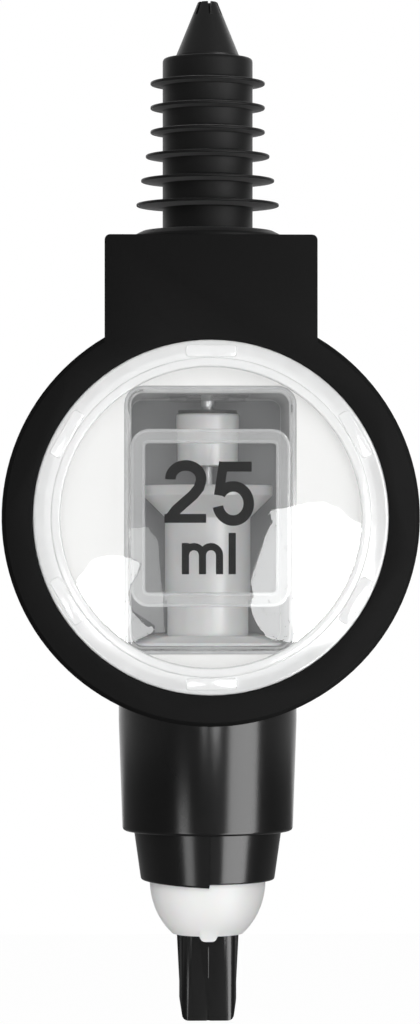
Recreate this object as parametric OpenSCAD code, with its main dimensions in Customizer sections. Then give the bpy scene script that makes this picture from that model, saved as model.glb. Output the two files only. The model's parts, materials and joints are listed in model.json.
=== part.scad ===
// Liquor optic dispenser: a wall-bracket spirit measure for an upturned bottle.
// Frame: +Z up, the lens faces -Y, +X is to the right as seen from the front.
// Origin: the middle of the cork flange's top face, where the bottle's lip lands.
// All sizes are in millimetres.

/* [Cork] */
// Radius of the cork's body between its fins
cork_r = 7.7; // [7.2:0.1:8.4]
// Height of the cork above its flange
cork_h = 29.6; // [28:0.2:34]
// Radius of the flange that the bottle's lip rests on
flange_r = 13; // [11.5:0.25:15]
// Thickness of the flange
flange_t = 2.35; // [1.8:0.05:3.5]
// How far the flange's rim slopes down from its flat top
flange_slope = 0.9; // [0.4:0.1:1.5]
// Rounding of the cork's upper edge
shoulder_r = 0.5; // [0.2:0.1:0.9]
// Number of sealing fins
fin_count = 6; // [2:1:6]
// Distance of the top fin below the cork's top
fin_top_gap = 4.3; // [3:0.1:6]
// Height of the lowest fin above the flange
fin_low_z = 4.5; // [2.5:0.1:5]
// Radius of the narrow upper fins
fin_r = 9.8; // [9:0.1:10.4]
// Number of upper fins that share that radius
fin_narrow = 3; // [1:1:4]
// Growth in radius from one lower fin to the next
fin_r_step = 0.8; // [0:0.1:1]
// Thickness of a fin at its tip
fin_tip_t = 0.45; // [0.3:0.05:0.7]
// Thickness of a fin at its root
fin_root_t = 1.1; // [0.8:0.05:1.6]

/* [Inlet tube] */
// Outer radius of the inlet tube
tube_r = 4.5; // [4.3:0.05:4.9]
// Wall of the inlet tube
tube_wall = 0.9; // [0.7:0.05:1]
// Radius of the pointed head where it sits on the cork
head_r = 5.4; // [5:0.1:6.4]
// Height of the plain band under the head's taper
head_band_h = 0.5; // [0.2:0.1:1.5]
// Overall height of the pointed head
head_h = 9.7; // [8:0.1:13]
// Radius of the head's flat tip
head_tip_r = 1.65; // [1.5:0.05:2.2]
// Radius of the hole in the tip
head_hole_r = 0.9; // [0.7:0.05:1]
// Number of strainer slots in the tip
slot_count = 6; // [3:1:6]
// Width of a strainer slot
slot_w = 0.55; // [0.4:0.05:0.6]
// Depth of the strainer slots
slot_h = 2.3; // [1.5:0.1:3]
// Turn of the slots from the front, in degrees
slot_turn = 10; // [0:1:30]
// How far the tip's hole runs on below the slots
hole_below = 0.4; // [0.2:0.1:1]
// Radius of the tube's flange inside the casing
tube_flange_r = 8; // [6:0.25:9]
// Thickness of that flange
tube_flange_t = 1.5; // [1:0.1:2.5]
// Wall of the air tube
air_wall = 0.35; // [0.25:0.05:0.45]

/* [Casing] */
// Outer radius of the drum
drum_r = 34.5; // [34.2:0.1:37]
// Wall of the casing
wall = 2.5; // [2.2:0.1:2.8]
// Height from the drum's centre to the top of the neck block
drum_to_top = 46.65; // [46:0.1:50]
// Bevel round the drum's front and rear edges
drum_bevel = 0.7; // [0.3:0.1:1.2]
// Width of the drum's ring round the lens
ring_w = 5.1; // [4.6:0.1:6]
// Width of the neck block
neck_w = 35.1; // [34.8:0.1:38]
// How far the neck block's front stands behind the drum's front
neck_set_front = 0; // [0:0.25:4]
// How far the neck block's rear stands ahead of the drum's rear
neck_set_rear = 3; // [1:0.25:4]
// Corner radius of the neck block
neck_corner_r = 0.9; // [0.4:0.1:2]
// Length of the pads between the rear wall and the chamber
post_l = 4.5; // [3.5:0.1:5.5]
// Radius of the pads that stand between the rear wall and the chamber
post_r = 3.2; // [2.8:0.1:3.6]
// Distance of those pads from the middle, across
post_x = 10; // [9.6:0.1:10.4]
// Distance of those pads from the drum's centre, up and down
post_z = 12; // [11:0.25:13]
// Thickness of a pad's end ahead of its screw hole
post_cap = 0.8; // [0.5:0.1:1]

/* [Casing screws] */
// Distance of the drum's screws from the drum's inner wall
screw_inset = 2.7; // [2.4:0.1:3]
// Distance of the neck block's screws from its inner wall
neck_screw_inset = 1.55; // [1.3:0.05:2]
// Depth of the neck block's screws below the block's top
neck_screw_drop = 9.65; // [8:0.25:12]
// Outer radius of a screw boss
boss_r = 3.6; // [3.4:0.05:3.8]
// Radius of a screw's shank
screw_r = 1.4; // [1.2:0.05:1.5]
// Length of a screw's shank
screw_l = 25; // [22:0.5:27]
// Radius of a screw's head
screw_head_r = 2.5; // [2.2:0.05:2.6]
// Height of a screw's head
screw_head_h = 1.8; // [1.4:0.1:2.2]
// Depth of the recess that hides a screw's head
screw_recess = 3; // [2.6:0.1:4]
// Width of a screw's cross recess
screw_cross_w = 0.6; // [0.4:0.05:0.8]
// Span of a screw's cross recess
screw_cross_l = 2.8; // [2:0.1:3.6]
// Depth of a screw's cross recess
screw_cross_h = 0.9; // [0.5:0.1:1.2]

/* [Lens] */
// Thickness of the lens's disc
lens_t = 1.5; // [1:0.1:2.2]
// How far the lens's rim stands ahead of the drum
lens_proud = 0.5; // [0:0.1:1.2]
// Clearance round the lens's flange
lens_flange_gap = 0.8; // [0.4:0.1:1.2]
// Thickness of that flange
lens_flange_t = 1.2; // [0.8:0.1:1.6]
// Wall of the lens's side
lens_wall = 1.7; // [1.2:0.1:2]
// Distance of the raised bead from the lens's edge
bead_inset = 2.9; // [2.6:0.1:3.4]
// Width of the raised bead
bead_w = 1.6; // [1:0.1:2]
// Height of the raised bead
bead_h = 0.6; // [0.3:0.1:1]
// Rise of the lens's shallow dome
dome_rise = 0.8; // [0.3:0.1:1.5]
// Number of lugs round the rim
lug_count = 6; // [3:1:8]
// Width of a lug
lug_w = 8.4; // [5:0.2:10]
// Radial length of a lug
lug_l = 2; // [1.4:0.1:2.2]
// Height of a lug
lug_h = 0.6; // [0.3:0.1:1]
// Thickness of the gasket behind the lens
gasket_t = 0.8; // [0.6:0.1:1.2]
// Thickness of the fascia plate
fascia_t = 1.2; // [1:0.1:1.5]

/* [Measuring chamber] */
// Width of the chamber, outside
chamber_w = 28.4; // [28:0.1:30]
// Distance from the drum's inner wall to the chamber's top and bottom, before its drop
chamber_margin = 9.8; // [9:0.1:10.2]
// How far the chamber's middle lies below the drum's
chamber_drop = 0.4; // [0:0.1:0.8]
// Wall of the chamber
chamber_wall = 1.1; // [1:0.05:1.4]
// Corner radius of the chamber, outside
chamber_corner_r = 3; // [2:0.1:3.4]
// Distance of the raised panel's sides from the chamber's
panel_margin = 0.95; // [0.8:0.05:2]
// Height of the raised panel
panel_h = 29.5; // [26:0.25:32]
// Distance of the raised panel's top from the window's top
panel_drop = 7.1; // [6:0.1:9]
// Height of the raised panel ahead of the window's plate
panel_rise = 1.7; // [1:0.1:2]
// Wall of the raised panel
panel_wall = 1; // [0.8:0.1:1.2]
// Width of the raised panel's border
panel_band = 2.4; // [1.8:0.1:3]
// Corner radius of the hollow behind the raised panel
panel_hollow_r = 1.5; // [0.8:0.1:2.5]
// Outer radius of the inlet socket on the chamber
socket_r = 7.2; // [7:0.1:8]
// Height of the inlet socket
socket_h = 5; // [4:0.25:7]
// Cross-section radius of the O-ring round the inlet tube
inlet_ring_r = 0.7; // [0.5:0.05:0.75]

/* [Inlet valve] */
// Radius of the valve seat
seat_r = 6.5; // [6:0.1:7]
// Thickness of the valve seat
seat_t = 0.8; // [0.6:0.05:1]
// Stroke of the inlet valve up to its seat
valve_stroke = 1.4; // [1.2:0.05:1.45]
// Radius of the valve's head
valve_r = 5.35; // [5.2:0.05:6]
// Thickness of the valve's head
valve_t = 2.9; // [2:0.1:3.4]
// Depth of the valve's skirt
skirt_h = 6; // [4:0.25:7]
// Wall of the skirt
skirt_wall = 0.8; // [0.6:0.05:1.2]
// How far the skirt is set in from the head's edge
skirt_inset = 0.2; // [0:0.05:0.4]
// Thickness of the valve's rubber seal
seal_t = 0.6; // [0.5:0.05:1]
// How far the rubber seal is set in from the head's edge
seal_inset = 0.35; // [0.2:0.05:0.8]

/* [Outlet] */
// Outer radius of the outlet cylinder
outlet_r = 7.3; // [7.1:0.05:7.4]
// Wall of the outlet cylinder
outlet_wall = 1.1; // [0.9:0.05:1.2]
// Distance of the funnel's lip below the chamber's roof
funnel_drop = 15.1; // [14:0.1:18]
// Height of the funnel's slope
funnel_h = 3.8; // [3:0.1:5]
// Outer radius of the funnel's lip
funnel_r = 11.1; // [10:0.1:11.6]
// Height of the funnel's lip
funnel_lip_h = 1.7; // [1:0.1:2.5]
// Gap between the base plate and the chamber's side walls
base_side_gap = 0.6; // [0.3:0.05:1]
// Gap between the base plate and the chamber's back wall
base_back_gap = 0.7; // [0.4:0.05:1]
// Thickness of the base plate
base_t = 1.5; // [1.5:0.1:2]
// How far the lifted piston's ring stands above the ports
port_clear = 0.8; // [0.6:0.1:2]
// Width of the ports
port_w = 5; // [3:0.25:6]
// Length of the outlet tube below the chamber
outlet_down = 8.9; // [7.5:0.1:9.5]
// Distance of the O-ring under the base plate from the outlet tube
outlet_ring_gap = 2.1; // [1.9:0.05:2.5]
// Cross-section radius of that O-ring
outlet_ring_section_r = 0.5; // [0.4:0.05:0.6]
// Clearance between the lock nut's corners and the barrel
nut_gap = 0.65; // [0.3:0.05:1.5]
// Thickness of the lock nut
nut_t = 4; // [3:0.1:4.5]

/* [Outlet piston and spindle] */
// Travel of the plunger
travel = 10; // [8:0.25:10.5]
// Thickness of the piston's head
piston_t = 2; // [1.8:0.1:2.4]
// Drop of the piston's head below the base plate's top
piston_drop = 2.2; // [1.6:0.1:2.6]
// Height of the piston's guide wings
wing_h = 7; // [5:0.25:9]
// Thickness of the guide wings
wing_t = 1.2; // [0.8:0.1:1.6]
// Cross-section radius of the piston's ring
piston_ring_r = 0.5; // [0.4:0.05:0.55]
// Radius of the spindle below the piston
spindle_r = 2; // [1.7:0.1:2.2]
// Radius of the thin rod above the piston
rod_r = 0.8; // [0.7:0.05:0.9]
// Radius of the rod's head
rod_head_r = 1.15; // [1:0.05:1.2]
// Height of the rod's head
rod_head_h = 1; // [0.6:0.1:1.5]

/* [Barrel and collar] */
// Radius of the barrel where it leaves the casing
barrel_r = 15.2; // [15.1:0.05:15.8]
// How much the barrel narrows to its lower end
barrel_taper = 0.65; // [0.2:0.05:1]
// Length of the barrel below the drum
barrel_show = 18.8; // [17:0.1:22]
// Width of the barrel's lip inside the casing
lip_w = 1.8; // [1.4:0.1:2.2]
// Thickness of that lip
barrel_lip_t = 1.5; // [1.2:0.1:2]
// Clearance between the lip and the drum's inner wall
lip_clear = 0.3; // [0.2:0.05:0.6]
// Clearance between the lip and the fascia's back
lip_front_gap = 0.8; // [0.7:0.1:2]
// Clearance between the lip and the drum's rear wall
lip_rear_gap = 0.5; // [0.5:0.1:3]
// Rounding of the barrel's lower edge
barrel_edge_r = 1.1; // [0.5:0.1:1.2]
// Wall of the barrel's lower end
barrel_wall = 1.35; // [1.3:0.05:1.6]
// Width of the ledge that the spring seat is pushed up against
ledge_w = 1; // [0.6:0.1:1]
// Thickness of the spring seat
spring_seat_t = 1.5; // [1.2:0.1:2]
// Depth of the ledge below the drum
ledge_below = 1; // [0.6:0.1:2]
// Width of the spring seat's arms
arm_w = 2.2; // [1.6:0.1:3]
// How far the collar is set in from the barrel's bore
collar_inset = 0.6; // [0.3:0.05:0.8]
// How much the collar narrows to its lower end
collar_taper = 1.2; // [0.8:0.05:1.4]
// Wall of the collar's lower end
collar_wall = 1.35; // [1.2:0.05:1.6]
// Height of the collar below the barrel
collar_h = 8.4; // [8:0.1:10]
// Height of the collar's spigot inside the barrel
spigot_h = 4; // [3:0.25:6]
// Step in the collar's lower edge at its seam
seam_step = 0.6; // [0.2:0.1:1]
// Width of the seam's groove
seam_w = 0.3; // [0.2:0.05:0.5]
// Depth of the seam's groove
seam_d = 0.35; // [0.2:0.05:0.5]

/* [Nozzle and plunger] */
// Height of the nozzle below the collar
nozzle_h = 9.2; // [8.6:0.1:9.4]
// Height of the half ellipse that the nozzle's dome is cut from
dome_h = 11.6; // [11.5:0.1:13]
// Width of the nozzle's flange
nozzle_flange_w = 1.2; // [0.8:0.05:1.4]
// Thickness of the nozzle's flange
nozzle_flange_t = 1.5; // [1:0.1:2]
// Depth of the nozzle's flange below the barrel's lower end
nozzle_flange_drop = 1.7; // [1:0.1:2.5]
// Wall of the nozzle
nozzle_wall = 1.5; // [1.2:0.05:1.8]
// Depth of the nozzle's inner ledge below the collar
nozzle_ledge_drop = 1.9; // [1.4:0.1:2.4]
// Wall of the nozzle's mouth
mouth_wall = 0.46; // [0.4:0.02:0.8]
// Width of the drip tab at the nozzle's mouth
tab_w = 2.9; // [1.5:0.1:4]
// Length of the drip tab below the mouth
tab_h = 0.9; // [0.6:0.1:2]
// Thickness of the plunger's flange
plunger_flange_t = 1.5; // [1.2:0.1:2.2]
// Depth of the plunger's bar, front to back
bar_d = 6.4; // [5:0.1:6.6]
// Corner radius of the bar
bar_corner_r = 2; // [1.8:0.1:2.4]
// Length of the plunger below the nozzle's mouth
bar_reach = 14.6; // [12:0.1:18]
// Rounding of the plunger's lower corners
bar_end_r = 1; // [0.6:0.1:2]
// How far the bar's sides draw in at its lower end
bar_taper = 0.4; // [0:0.1:1]
// Height of that taper
bar_taper_h = 3.6; // [2:0.1:5]
// How far the side vanes stand out from the bar at the nozzle's mouth
vane_step = 0.42; // [0.2:0.02:0.6]
// Thickness of the side vanes
vane_t = 2; // [1.2:0.1:3]
// Length of the side vanes below the nozzle's mouth
vane_reach = 8.5; // [6:0.1:11]
// Width of the small groove in front at the plunger's lower end
notch_w = 0.5; // [0.3:0.05:1]
// Height of that groove
notch_h = 1.9; // [1:0.1:2.5]
// Depth of that groove
notch_d = 0.4; // [0.2:0.1:0.8]

/* [Return spring] */
// Clearance between the spring and the nozzle's bore
coil_gap = 1.5; // [1.1:0.05:2]
// Diameter of the wire
wire_d = 1; // [0.8:0.05:1.2]
// Number of turns
turns = 8; // [5:1:9]

/* [Bracket boss] */
// Width of the bracket boss
bracket_w = 30; // [28:0.5:36]
// Height of the bracket boss
bracket_h = 34; // [32:0.5:40]
// Thickness of the bracket boss
bracket_t = 7.4; // [7:0.1:9]
// Corner radius of the bracket boss
bracket_corner_r = 3; // [1:0.25:5]
// Width of the socket for the wall bracket's tongue
tongue_w = 12; // [10:0.25:12.5]
// Thickness of the socket
tongue_t = 4.6; // [4.2:0.1:5]
// Depth of the socket, up from the boss's lower end
tongue_h = 26; // [20:0.5:28]
// Space ahead of a bracket screw's tip in its hole
screw_tip_gap = 0.5; // [0.2:0.1:1]

/* [Fits] */
// Clearance between nested fixed pieces
fit = 0.1; // [0.05:0.01:0.12]
// Clearance between the barrel and the hole it passes through
barrel_fit = 0.15; // [0.1:0.01:0.2]
// Clearance round a sliding piece
slide_fit = 0.3; // [0.2:0.02:0.35]
// Clearance between the window's plate and the fascia
window_fit = 0.1; // [0.1:0.05:0.4]

/* [Hidden] */

$fn = 72;
// A small overlap that keeps cuts and joined faces clean
eps = 0.01;
// How far a cut runs past the face that it opens
over = 1;

// Radii inside the casing
drum_inner_r = drum_r - wall;
opening_r = drum_r - ring_w;
screw_circle_r = drum_inner_r - screw_inset;
neck_screw_x = neck_w / 2 - wall - neck_screw_inset;
lens_r = opening_r - fit;
lens_inner_r = lens_r - lens_wall;
lens_flange_r = drum_inner_r - lens_flange_gap;
bead_outer_r = lens_r - bead_inset;
bead_inner_r = bead_outer_r - bead_w;
fascia_r = drum_inner_r - slide_fit;

// Radii of the inlet
tube_bore_r = tube_r - tube_wall;
tube_hole_r = tube_r + fit;
air_r = (tube_bore_r - rod_head_r - slide_fit - fit) / 2;
air_bore_r = air_r - air_wall;
socket_ring_r = tube_r + inlet_ring_r + fit / 2;
rod_hole_r = rod_r + slide_fit;
seal_r = valve_r - seal_inset;

// Radii of the outlet
outlet_bore_r = outlet_r - outlet_wall;
outlet_hole_r = outlet_r + fit;
outlet_ring_r = outlet_r + outlet_ring_gap;
piston_r = outlet_bore_r - slide_fit;
// The piston's ring stands nearly at the bore's wall, which it wipes
piston_ring_mid_r = outlet_bore_r - piston_ring_r - fit;

// Radii of the barrel and of what follows below it
barrel_lip_r = barrel_r + lip_w;
barrel_end_r = barrel_r - barrel_taper;
barrel_bore_r = barrel_end_r - barrel_wall;
barrel_bore_up_r = barrel_bore_r - ledge_w;
nut_corner_r = barrel_bore_up_r - nut_gap;
collar_r = barrel_bore_r - collar_inset;
collar_end_r = collar_r - collar_taper;
collar_bore_r = collar_end_r - collar_wall;
nozzle_r = collar_bore_r - barrel_fit;
nozzle_flange_r = nozzle_r + nozzle_flange_w;
nozzle_bore_r = nozzle_r - nozzle_wall;
mouth_outer_r = nozzle_r * sqrt(1 - pow(nozzle_h / dome_h, 2));
mouth_r = mouth_outer_r - mouth_wall;
coil_r = nozzle_bore_r - coil_gap - wire_d / 2;
plunger_flange_r = nozzle_bore_r - slide_fit;
vane_w = 2 * (mouth_r - slide_fit);
bar_w = vane_w - 2 * vane_step;

// Distances ahead of the split plane, towards the lens
fascia_back = barrel_lip_r + lip_front_gap;
fascia_front = fascia_back + fascia_t;
gasket_front = fascia_front + gasket_t;
lens_flange_front = gasket_front + lens_flange_t;
drum_front = lens_flange_front + wall;
neck_front = drum_front - neck_set_front;
lens_face = drum_front + lens_proud;

// Distances behind the split plane
drum_rear = barrel_lip_r + lip_rear_gap + wall;
neck_rear = drum_rear - neck_set_rear;
chamber_rear = drum_rear - wall - post_l;

// Sizes of the chamber and of what fits it
chamber_h = 2 * (drum_inner_r - chamber_margin);
hollow_w = chamber_w - 2 * chamber_wall;
hollow_h = chamber_h - 2 * chamber_wall;
hollow_corner_r = chamber_corner_r - chamber_wall;
window_w = chamber_w + 2 * window_fit;
window_h = chamber_h + 2 * window_fit;
panel_w = chamber_w - 2 * panel_margin;
base_w = hollow_w - 2 * base_side_gap;
base_d = 2 * (chamber_rear - chamber_wall - base_back_gap);

// Heights of the pieces, from the origin down
fin_pitch = (cork_h - fin_top_gap - fin_low_z) / (fin_count - 1);
block_top = -flange_t;
drum_z = block_top - drum_to_top;
drum_low = drum_z - drum_r;
chamber_z = drum_z - chamber_drop;
chamber_top = chamber_z + chamber_h / 2;
chamber_low = chamber_z - chamber_h / 2;
roof_z = chamber_top - chamber_wall;
floor_z = chamber_low + chamber_wall;
seat_low = roof_z - seat_t;
seal_top = seat_low - valve_stroke - fit;
valve_top = seal_top - seal_t;
valve_low = valve_top - valve_t;
base_top = floor_z + base_t;
funnel_top = roof_z - funnel_drop;
funnel_z = funnel_top - funnel_lip_h - funnel_h;
outlet_low = chamber_low - outlet_down;
piston_top = base_top - piston_drop;
piston_low = piston_top - piston_t;
port_h = travel - piston_drop - piston_t / 2 - port_clear;
lip_low = drum_z - sqrt(pow(drum_inner_r, 2) - pow(barrel_lip_r, 2)) + lip_clear;
barrel_low = drum_low - barrel_show;
ledge_z = drum_low - ledge_below;
spring_top = ledge_z - spring_seat_t;
collar_low = barrel_low - collar_h;
nozzle_flange_low = barrel_low - nozzle_flange_drop;
nozzle_low = collar_low - nozzle_h;
nozzle_ledge = collar_low - nozzle_ledge_drop;
plunger_flange_low = nozzle_ledge + slide_fit;
spring_low = plunger_flange_low + plunger_flange_t;
plunger_low = nozzle_low - bar_reach;

casing_black = [0.11, 0.11, 0.11];
gloss_black = [0.06, 0.06, 0.06];
cork_black = [0.14, 0.14, 0.14];
fascia_white = [0.94, 0.94, 0.93];
clear_grey = [0.75, 0.77, 0.78, 0.4];
milky = [0.83, 0.83, 0.83];
steel = [0.7, 0.7, 0.72];

// Outline of a rectangle w by h with rounded corners of radius r
function round_rect(w, h, r, steps = 5) = [
    for (corner = [[1, 1, 0], [-1, 1, 90], [-1, -1, 180], [1, -1, 270]])
        for (i = [0 : steps])
            [corner[0] * (w / 2 - r) + r * cos(corner[2] + 90 * i / steps),
             corner[1] * (h / 2 - r) + r * sin(corner[2] + 90 * i / steps)]];

// Points of an arc about c, from angle a to angle b
function arc(c, r, a, b, steps = 4) = [
    for (i = [0 : steps])
        c + r * [cos(a + (b - a) * i / steps), sin(a + (b - a) * i / steps)]];

// Extrudes an outline drawn in X and Z between two distances ahead of the split plane
module from_front(back, front) {
    translate([0, -back, 0]) rotate([90, 0, 0]) linear_extrude(front - back) children();
}

// Turns an outline drawn as radius and distance ahead, about the drum's axis
module turned_on_drum() {
    translate([0, 0, drum_z]) rotate([90, 0, 0]) rotate_extrude() children();
}

// A cylinder that stands along the drum's axis between two distances ahead
module rod_ahead(x, z, r, back, front) {
    translate([x, -back, z]) rotate([90, 0, 0]) cylinder(r = r, h = front - back);
}

// An upright cylinder between two heights
module upright(r, low, high) {
    translate([0, 0, low]) cylinder(r = r, h = high - low);
}

// An upright ring between two heights
module ring(outer_r, inner_r, low, high) {
    difference() {
        upright(outer_r, low, high);
        upright(inner_r, low - over, high + over);
    }
}

// A ring of round section about the spindle's axis
module o_ring(r, section_r, z) {
    translate([0, 0, z]) rotate_extrude() translate([r, 0]) circle(r = section_r, $fn = 24);
}

// Repeats its children at the four screws of the drum
module at_drum_screws() {
    for (a = [45 : 90 : 315])
        translate([screw_circle_r * cos(a), 0, drum_z + screw_circle_r * sin(a)]) children();
}

// Repeats its children at the two screws of the neck block
module at_neck_screws() {
    for (side = [-1, 1])
        translate([side * neck_screw_x, 0, block_top - neck_screw_drop]) children();
}

// Repeats its children at the four pads behind the chamber
module at_posts() {
    for (sx = [-1, 1])
        for (sz = [-1, 1])
            translate([sx * post_x, 0, drum_z + sz * post_z]) children();
}

module cork() {
    fin_points = [for (i = [0 : fin_count - 1])
        let (z = fin_low_z + i * fin_pitch,
             r = fin_r + max(0, fin_count - fin_narrow - i) * fin_r_step)
        each [[cork_r, z - fin_root_t / 2], [r, z - fin_tip_t / 2],
              [r, z + fin_tip_t / 2], [cork_r, z + fin_root_t / 2]]];
    color(cork_black) rotate_extrude() polygon(concat(
        [[tube_hole_r, block_top], [flange_r, block_top], [flange_r, -flange_slope],
         [flange_r - 2 * flange_slope, 0], [cork_r, 0]],
        fin_points,
        arc([cork_r - shoulder_r, cork_h - shoulder_r], shoulder_r, 0, 90),
        [[tube_hole_r, cork_h]]));
}

module inlet_tube() {
    head_low = cork_h;
    head_top = cork_h + head_h;
    flange_top = block_top - wall;
    color(casing_black) difference() {
        rotate_extrude() polygon([
            [tube_bore_r, chamber_top], [tube_r, chamber_top],
            [tube_r, flange_top - tube_flange_t], [tube_flange_r, flange_top - tube_flange_t],
            [tube_flange_r, flange_top], [tube_r, flange_top], [tube_r, head_low],
            [head_r, head_low], [head_r, head_low + head_band_h], [head_tip_r, head_top],
            [head_hole_r, head_top], [head_hole_r, head_top - slot_h - hole_below],
            [tube_bore_r, head_low + head_band_h]]);
        for (i = [0 : slot_count - 1])
            rotate(i * 360 / slot_count + 90 + slot_turn)
                translate([0, -slot_w / 2, head_top - slot_h])
                    cube([head_r, slot_w, slot_h + over]);
    }
}

module air_tube() {
    color("dimgray") translate([0, tube_bore_r - air_r - fit, 0])
        ring(air_r, air_bore_r, seat_low, cork_h);
}

module inlet_o_ring() {
    color(cork_black)
        o_ring(socket_ring_r, inlet_ring_r, chamber_top + socket_h - inlet_ring_r - fit);
}

// Solid outline of one half of the casing, before it is hollowed
module casing_block(drum_depth, neck_depth) {
    turned_on_drum() polygon([
        [0, 0], [drum_r, 0], [drum_r, drum_depth - drum_bevel],
        [drum_r - drum_bevel, drum_depth], [0, drum_depth]]);
    translate([0, 0, drum_z + drum_to_top / 2]) from_front(0, neck_depth)
        polygon(round_rect(neck_w, drum_to_top, neck_corner_r));
}

// The space inside one half of the casing
module casing_hollow(drum_depth, neck_depth) {
    rod_ahead(0, drum_z, drum_inner_r, -over, drum_depth - wall);
    translate([0, 0, drum_z + (drum_to_top - wall) / 2]) from_front(-over, neck_depth - wall)
        square([neck_w - 2 * wall, drum_to_top - wall], center = true);
}

// The seat that the barrel's lip stands on, cut to the round of the drum
module barrel_seat(drum_depth) {
    intersection() {
        upright(barrel_lip_r + lip_clear, drum_low, lip_low);
        rod_ahead(0, drum_z, drum_r - drum_bevel / 2, 0, drum_depth - wall / 2);
    }
}

// Holes along the spindle's axis through the casing
module casing_bores() {
    upright(tube_hole_r, block_top - wall - over, block_top + over);
    upright(barrel_r + barrel_fit, drum_low - over, lip_low + over);
}

module front_casing() {
    drum_pilot = screw_l - (drum_rear - screw_recess) + over;
    neck_pilot = screw_l - (neck_rear - screw_recess) + over;
    color(casing_black) difference() {
        union() {
            difference() {
                casing_block(drum_front, neck_front);
                casing_hollow(drum_front, neck_front);
                rod_ahead(0, drum_z, opening_r, 0, drum_front + over);
            }
            at_drum_screws() rod_ahead(0, 0, boss_r, 0, fascia_back);
            at_neck_screws() rod_ahead(0, 0, boss_r, 0, neck_front - wall + eps);
            barrel_seat(drum_front);
        }
        casing_bores();
        at_drum_screws() rod_ahead(0, 0, screw_r, -over, drum_pilot);
        at_neck_screws() rod_ahead(0, 0, screw_r, -over, neck_pilot);
    }
}

module rear_casing() {
    color(casing_black) difference() {
        union() {
            difference() {
                mirror([0, 1, 0]) casing_block(drum_rear, neck_rear);
                mirror([0, 1, 0]) casing_hollow(drum_rear, neck_rear);
            }
            at_drum_screws() rod_ahead(0, 0, boss_r, -drum_rear + wall / 2, 0);
            at_neck_screws() rod_ahead(0, 0, boss_r, -neck_rear + wall / 2, 0);
            at_posts() rod_ahead(0, 0, post_r, -drum_rear + wall / 2, -chamber_rear - fit);
            mirror([0, 1, 0]) barrel_seat(drum_rear);
        }
        casing_bores();
        at_drum_screws() {
            rod_ahead(0, 0, screw_r + fit, -drum_rear - over, over);
            rod_ahead(0, 0, screw_head_r + fit, -drum_rear - over, -drum_rear + screw_recess);
        }
        at_neck_screws() {
            rod_ahead(0, 0, screw_r + fit, -neck_rear - over, over);
            rod_ahead(0, 0, screw_head_r + fit, -neck_rear - over, -neck_rear + screw_recess);
        }
        at_posts() rod_ahead(0, 0, screw_r, -drum_rear - over, -chamber_rear - fit - post_cap);
    }
}

// One screw whose head bears at the given distance behind the split plane
module screw(bearing, length) {
    difference() {
        union() {
            rod_ahead(0, 0, screw_head_r, -bearing - screw_head_h, -bearing);
            rod_ahead(0, 0, screw_r - fit / 2, -bearing - eps, -bearing + length);
        }
        for (turn = [0, 90])
            translate([0, bearing + screw_head_h - screw_cross_h, 0]) rotate([0, turn, 0])
                translate([-screw_cross_l / 2, 0, -screw_cross_w / 2])
                    cube([screw_cross_l, screw_cross_h + over, screw_cross_w]);
    }
}

module casing_screws() {
    color(steel) {
        at_drum_screws() screw(drum_rear - screw_recess, screw_l);
        at_neck_screws() screw(neck_rear - screw_recess, screw_l);
    }
}

module lens() {
    dome_steps = 5;
    dome = [for (i = [0 : dome_steps])
        let (r = bead_inner_r * (1 - i / dome_steps))
        [r, lens_face + dome_rise * (1 - pow(r / bead_inner_r, 2))]];
    color(clear_grey) {
        turned_on_drum() polygon(concat(
            [[0, lens_face - lens_t], [lens_inner_r, lens_face - lens_t],
             [lens_inner_r, gasket_front], [lens_flange_r, gasket_front],
             [lens_flange_r, lens_flange_front], [lens_r, lens_flange_front],
             [lens_r, lens_face], [bead_outer_r, lens_face],
             [bead_outer_r - bead_h / 3, lens_face + bead_h],
             [bead_inner_r + bead_h / 3, lens_face + bead_h]],
            dome));
        for (i = [0 : lug_count - 1])
            translate([0, 0, drum_z]) rotate([0, i * 360 / lug_count, 0])
                translate([-lug_w / 2, -lens_face - lug_h, bead_outer_r - eps])
                    cube([lug_w, lug_h + eps, lug_l]);
    }
}

module lens_gasket() {
    color(cork_black) turned_on_drum() translate([lens_inner_r, fascia_front])
        square([lens_flange_r - lens_inner_r, gasket_t]);
}

module fascia() {
    color(fascia_white) difference() {
        rod_ahead(0, drum_z, fascia_r, fascia_back, fascia_front);
        translate([0, 0, chamber_z]) from_front(fascia_back - over, fascia_front + over)
            polygon(round_rect(window_w, window_h, chamber_corner_r + window_fit));
    }
}

module chamber() {
    ring_seat_h = 2 * inlet_ring_r + 2 * fit;
    color(clear_grey) difference() {
        union() {
            translate([0, 0, chamber_z]) from_front(-chamber_rear, fascia_back)
                polygon(round_rect(chamber_w, chamber_h, chamber_corner_r));
            upright(socket_r, chamber_top - chamber_wall / 2, chamber_top + socket_h);
        }
        translate([0, 0, chamber_z]) from_front(-chamber_rear + chamber_wall, fascia_back + over)
            polygon(round_rect(hollow_w, hollow_h, hollow_corner_r));
        upright(tube_bore_r, roof_z - over, chamber_top + over);
        upright(tube_hole_r, chamber_top, chamber_top + socket_h + over);
        upright(socket_ring_r + inlet_ring_r + fit / 2, chamber_top + socket_h - ring_seat_h,
                chamber_top + socket_h + over);
        upright(outlet_hole_r, chamber_low - over, floor_z + over);
    }
}

module chamber_window() {
    panel_z = chamber_top - panel_drop - panel_h / 2;
    color(clear_grey) difference() {
        union() {
            translate([0, 0, chamber_z]) from_front(fascia_back, fascia_front)
                polygon(round_rect(chamber_w, chamber_h, chamber_corner_r));
            translate([0, 0, panel_z]) from_front(fascia_front - eps, fascia_front + panel_rise)
                polygon(round_rect(panel_w, panel_h, chamber_corner_r));
        }
        translate([0, 0, panel_z])
            from_front(fascia_back - over, fascia_front + panel_rise - panel_wall)
                polygon(round_rect(panel_w - 2 * panel_band, panel_h - 2 * panel_band,
                                   panel_hollow_r));
    }
}

module inlet_seat() {
    color(milky) ring(seat_r, tube_bore_r, seat_low, seat_low + seat_t);
}

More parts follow.
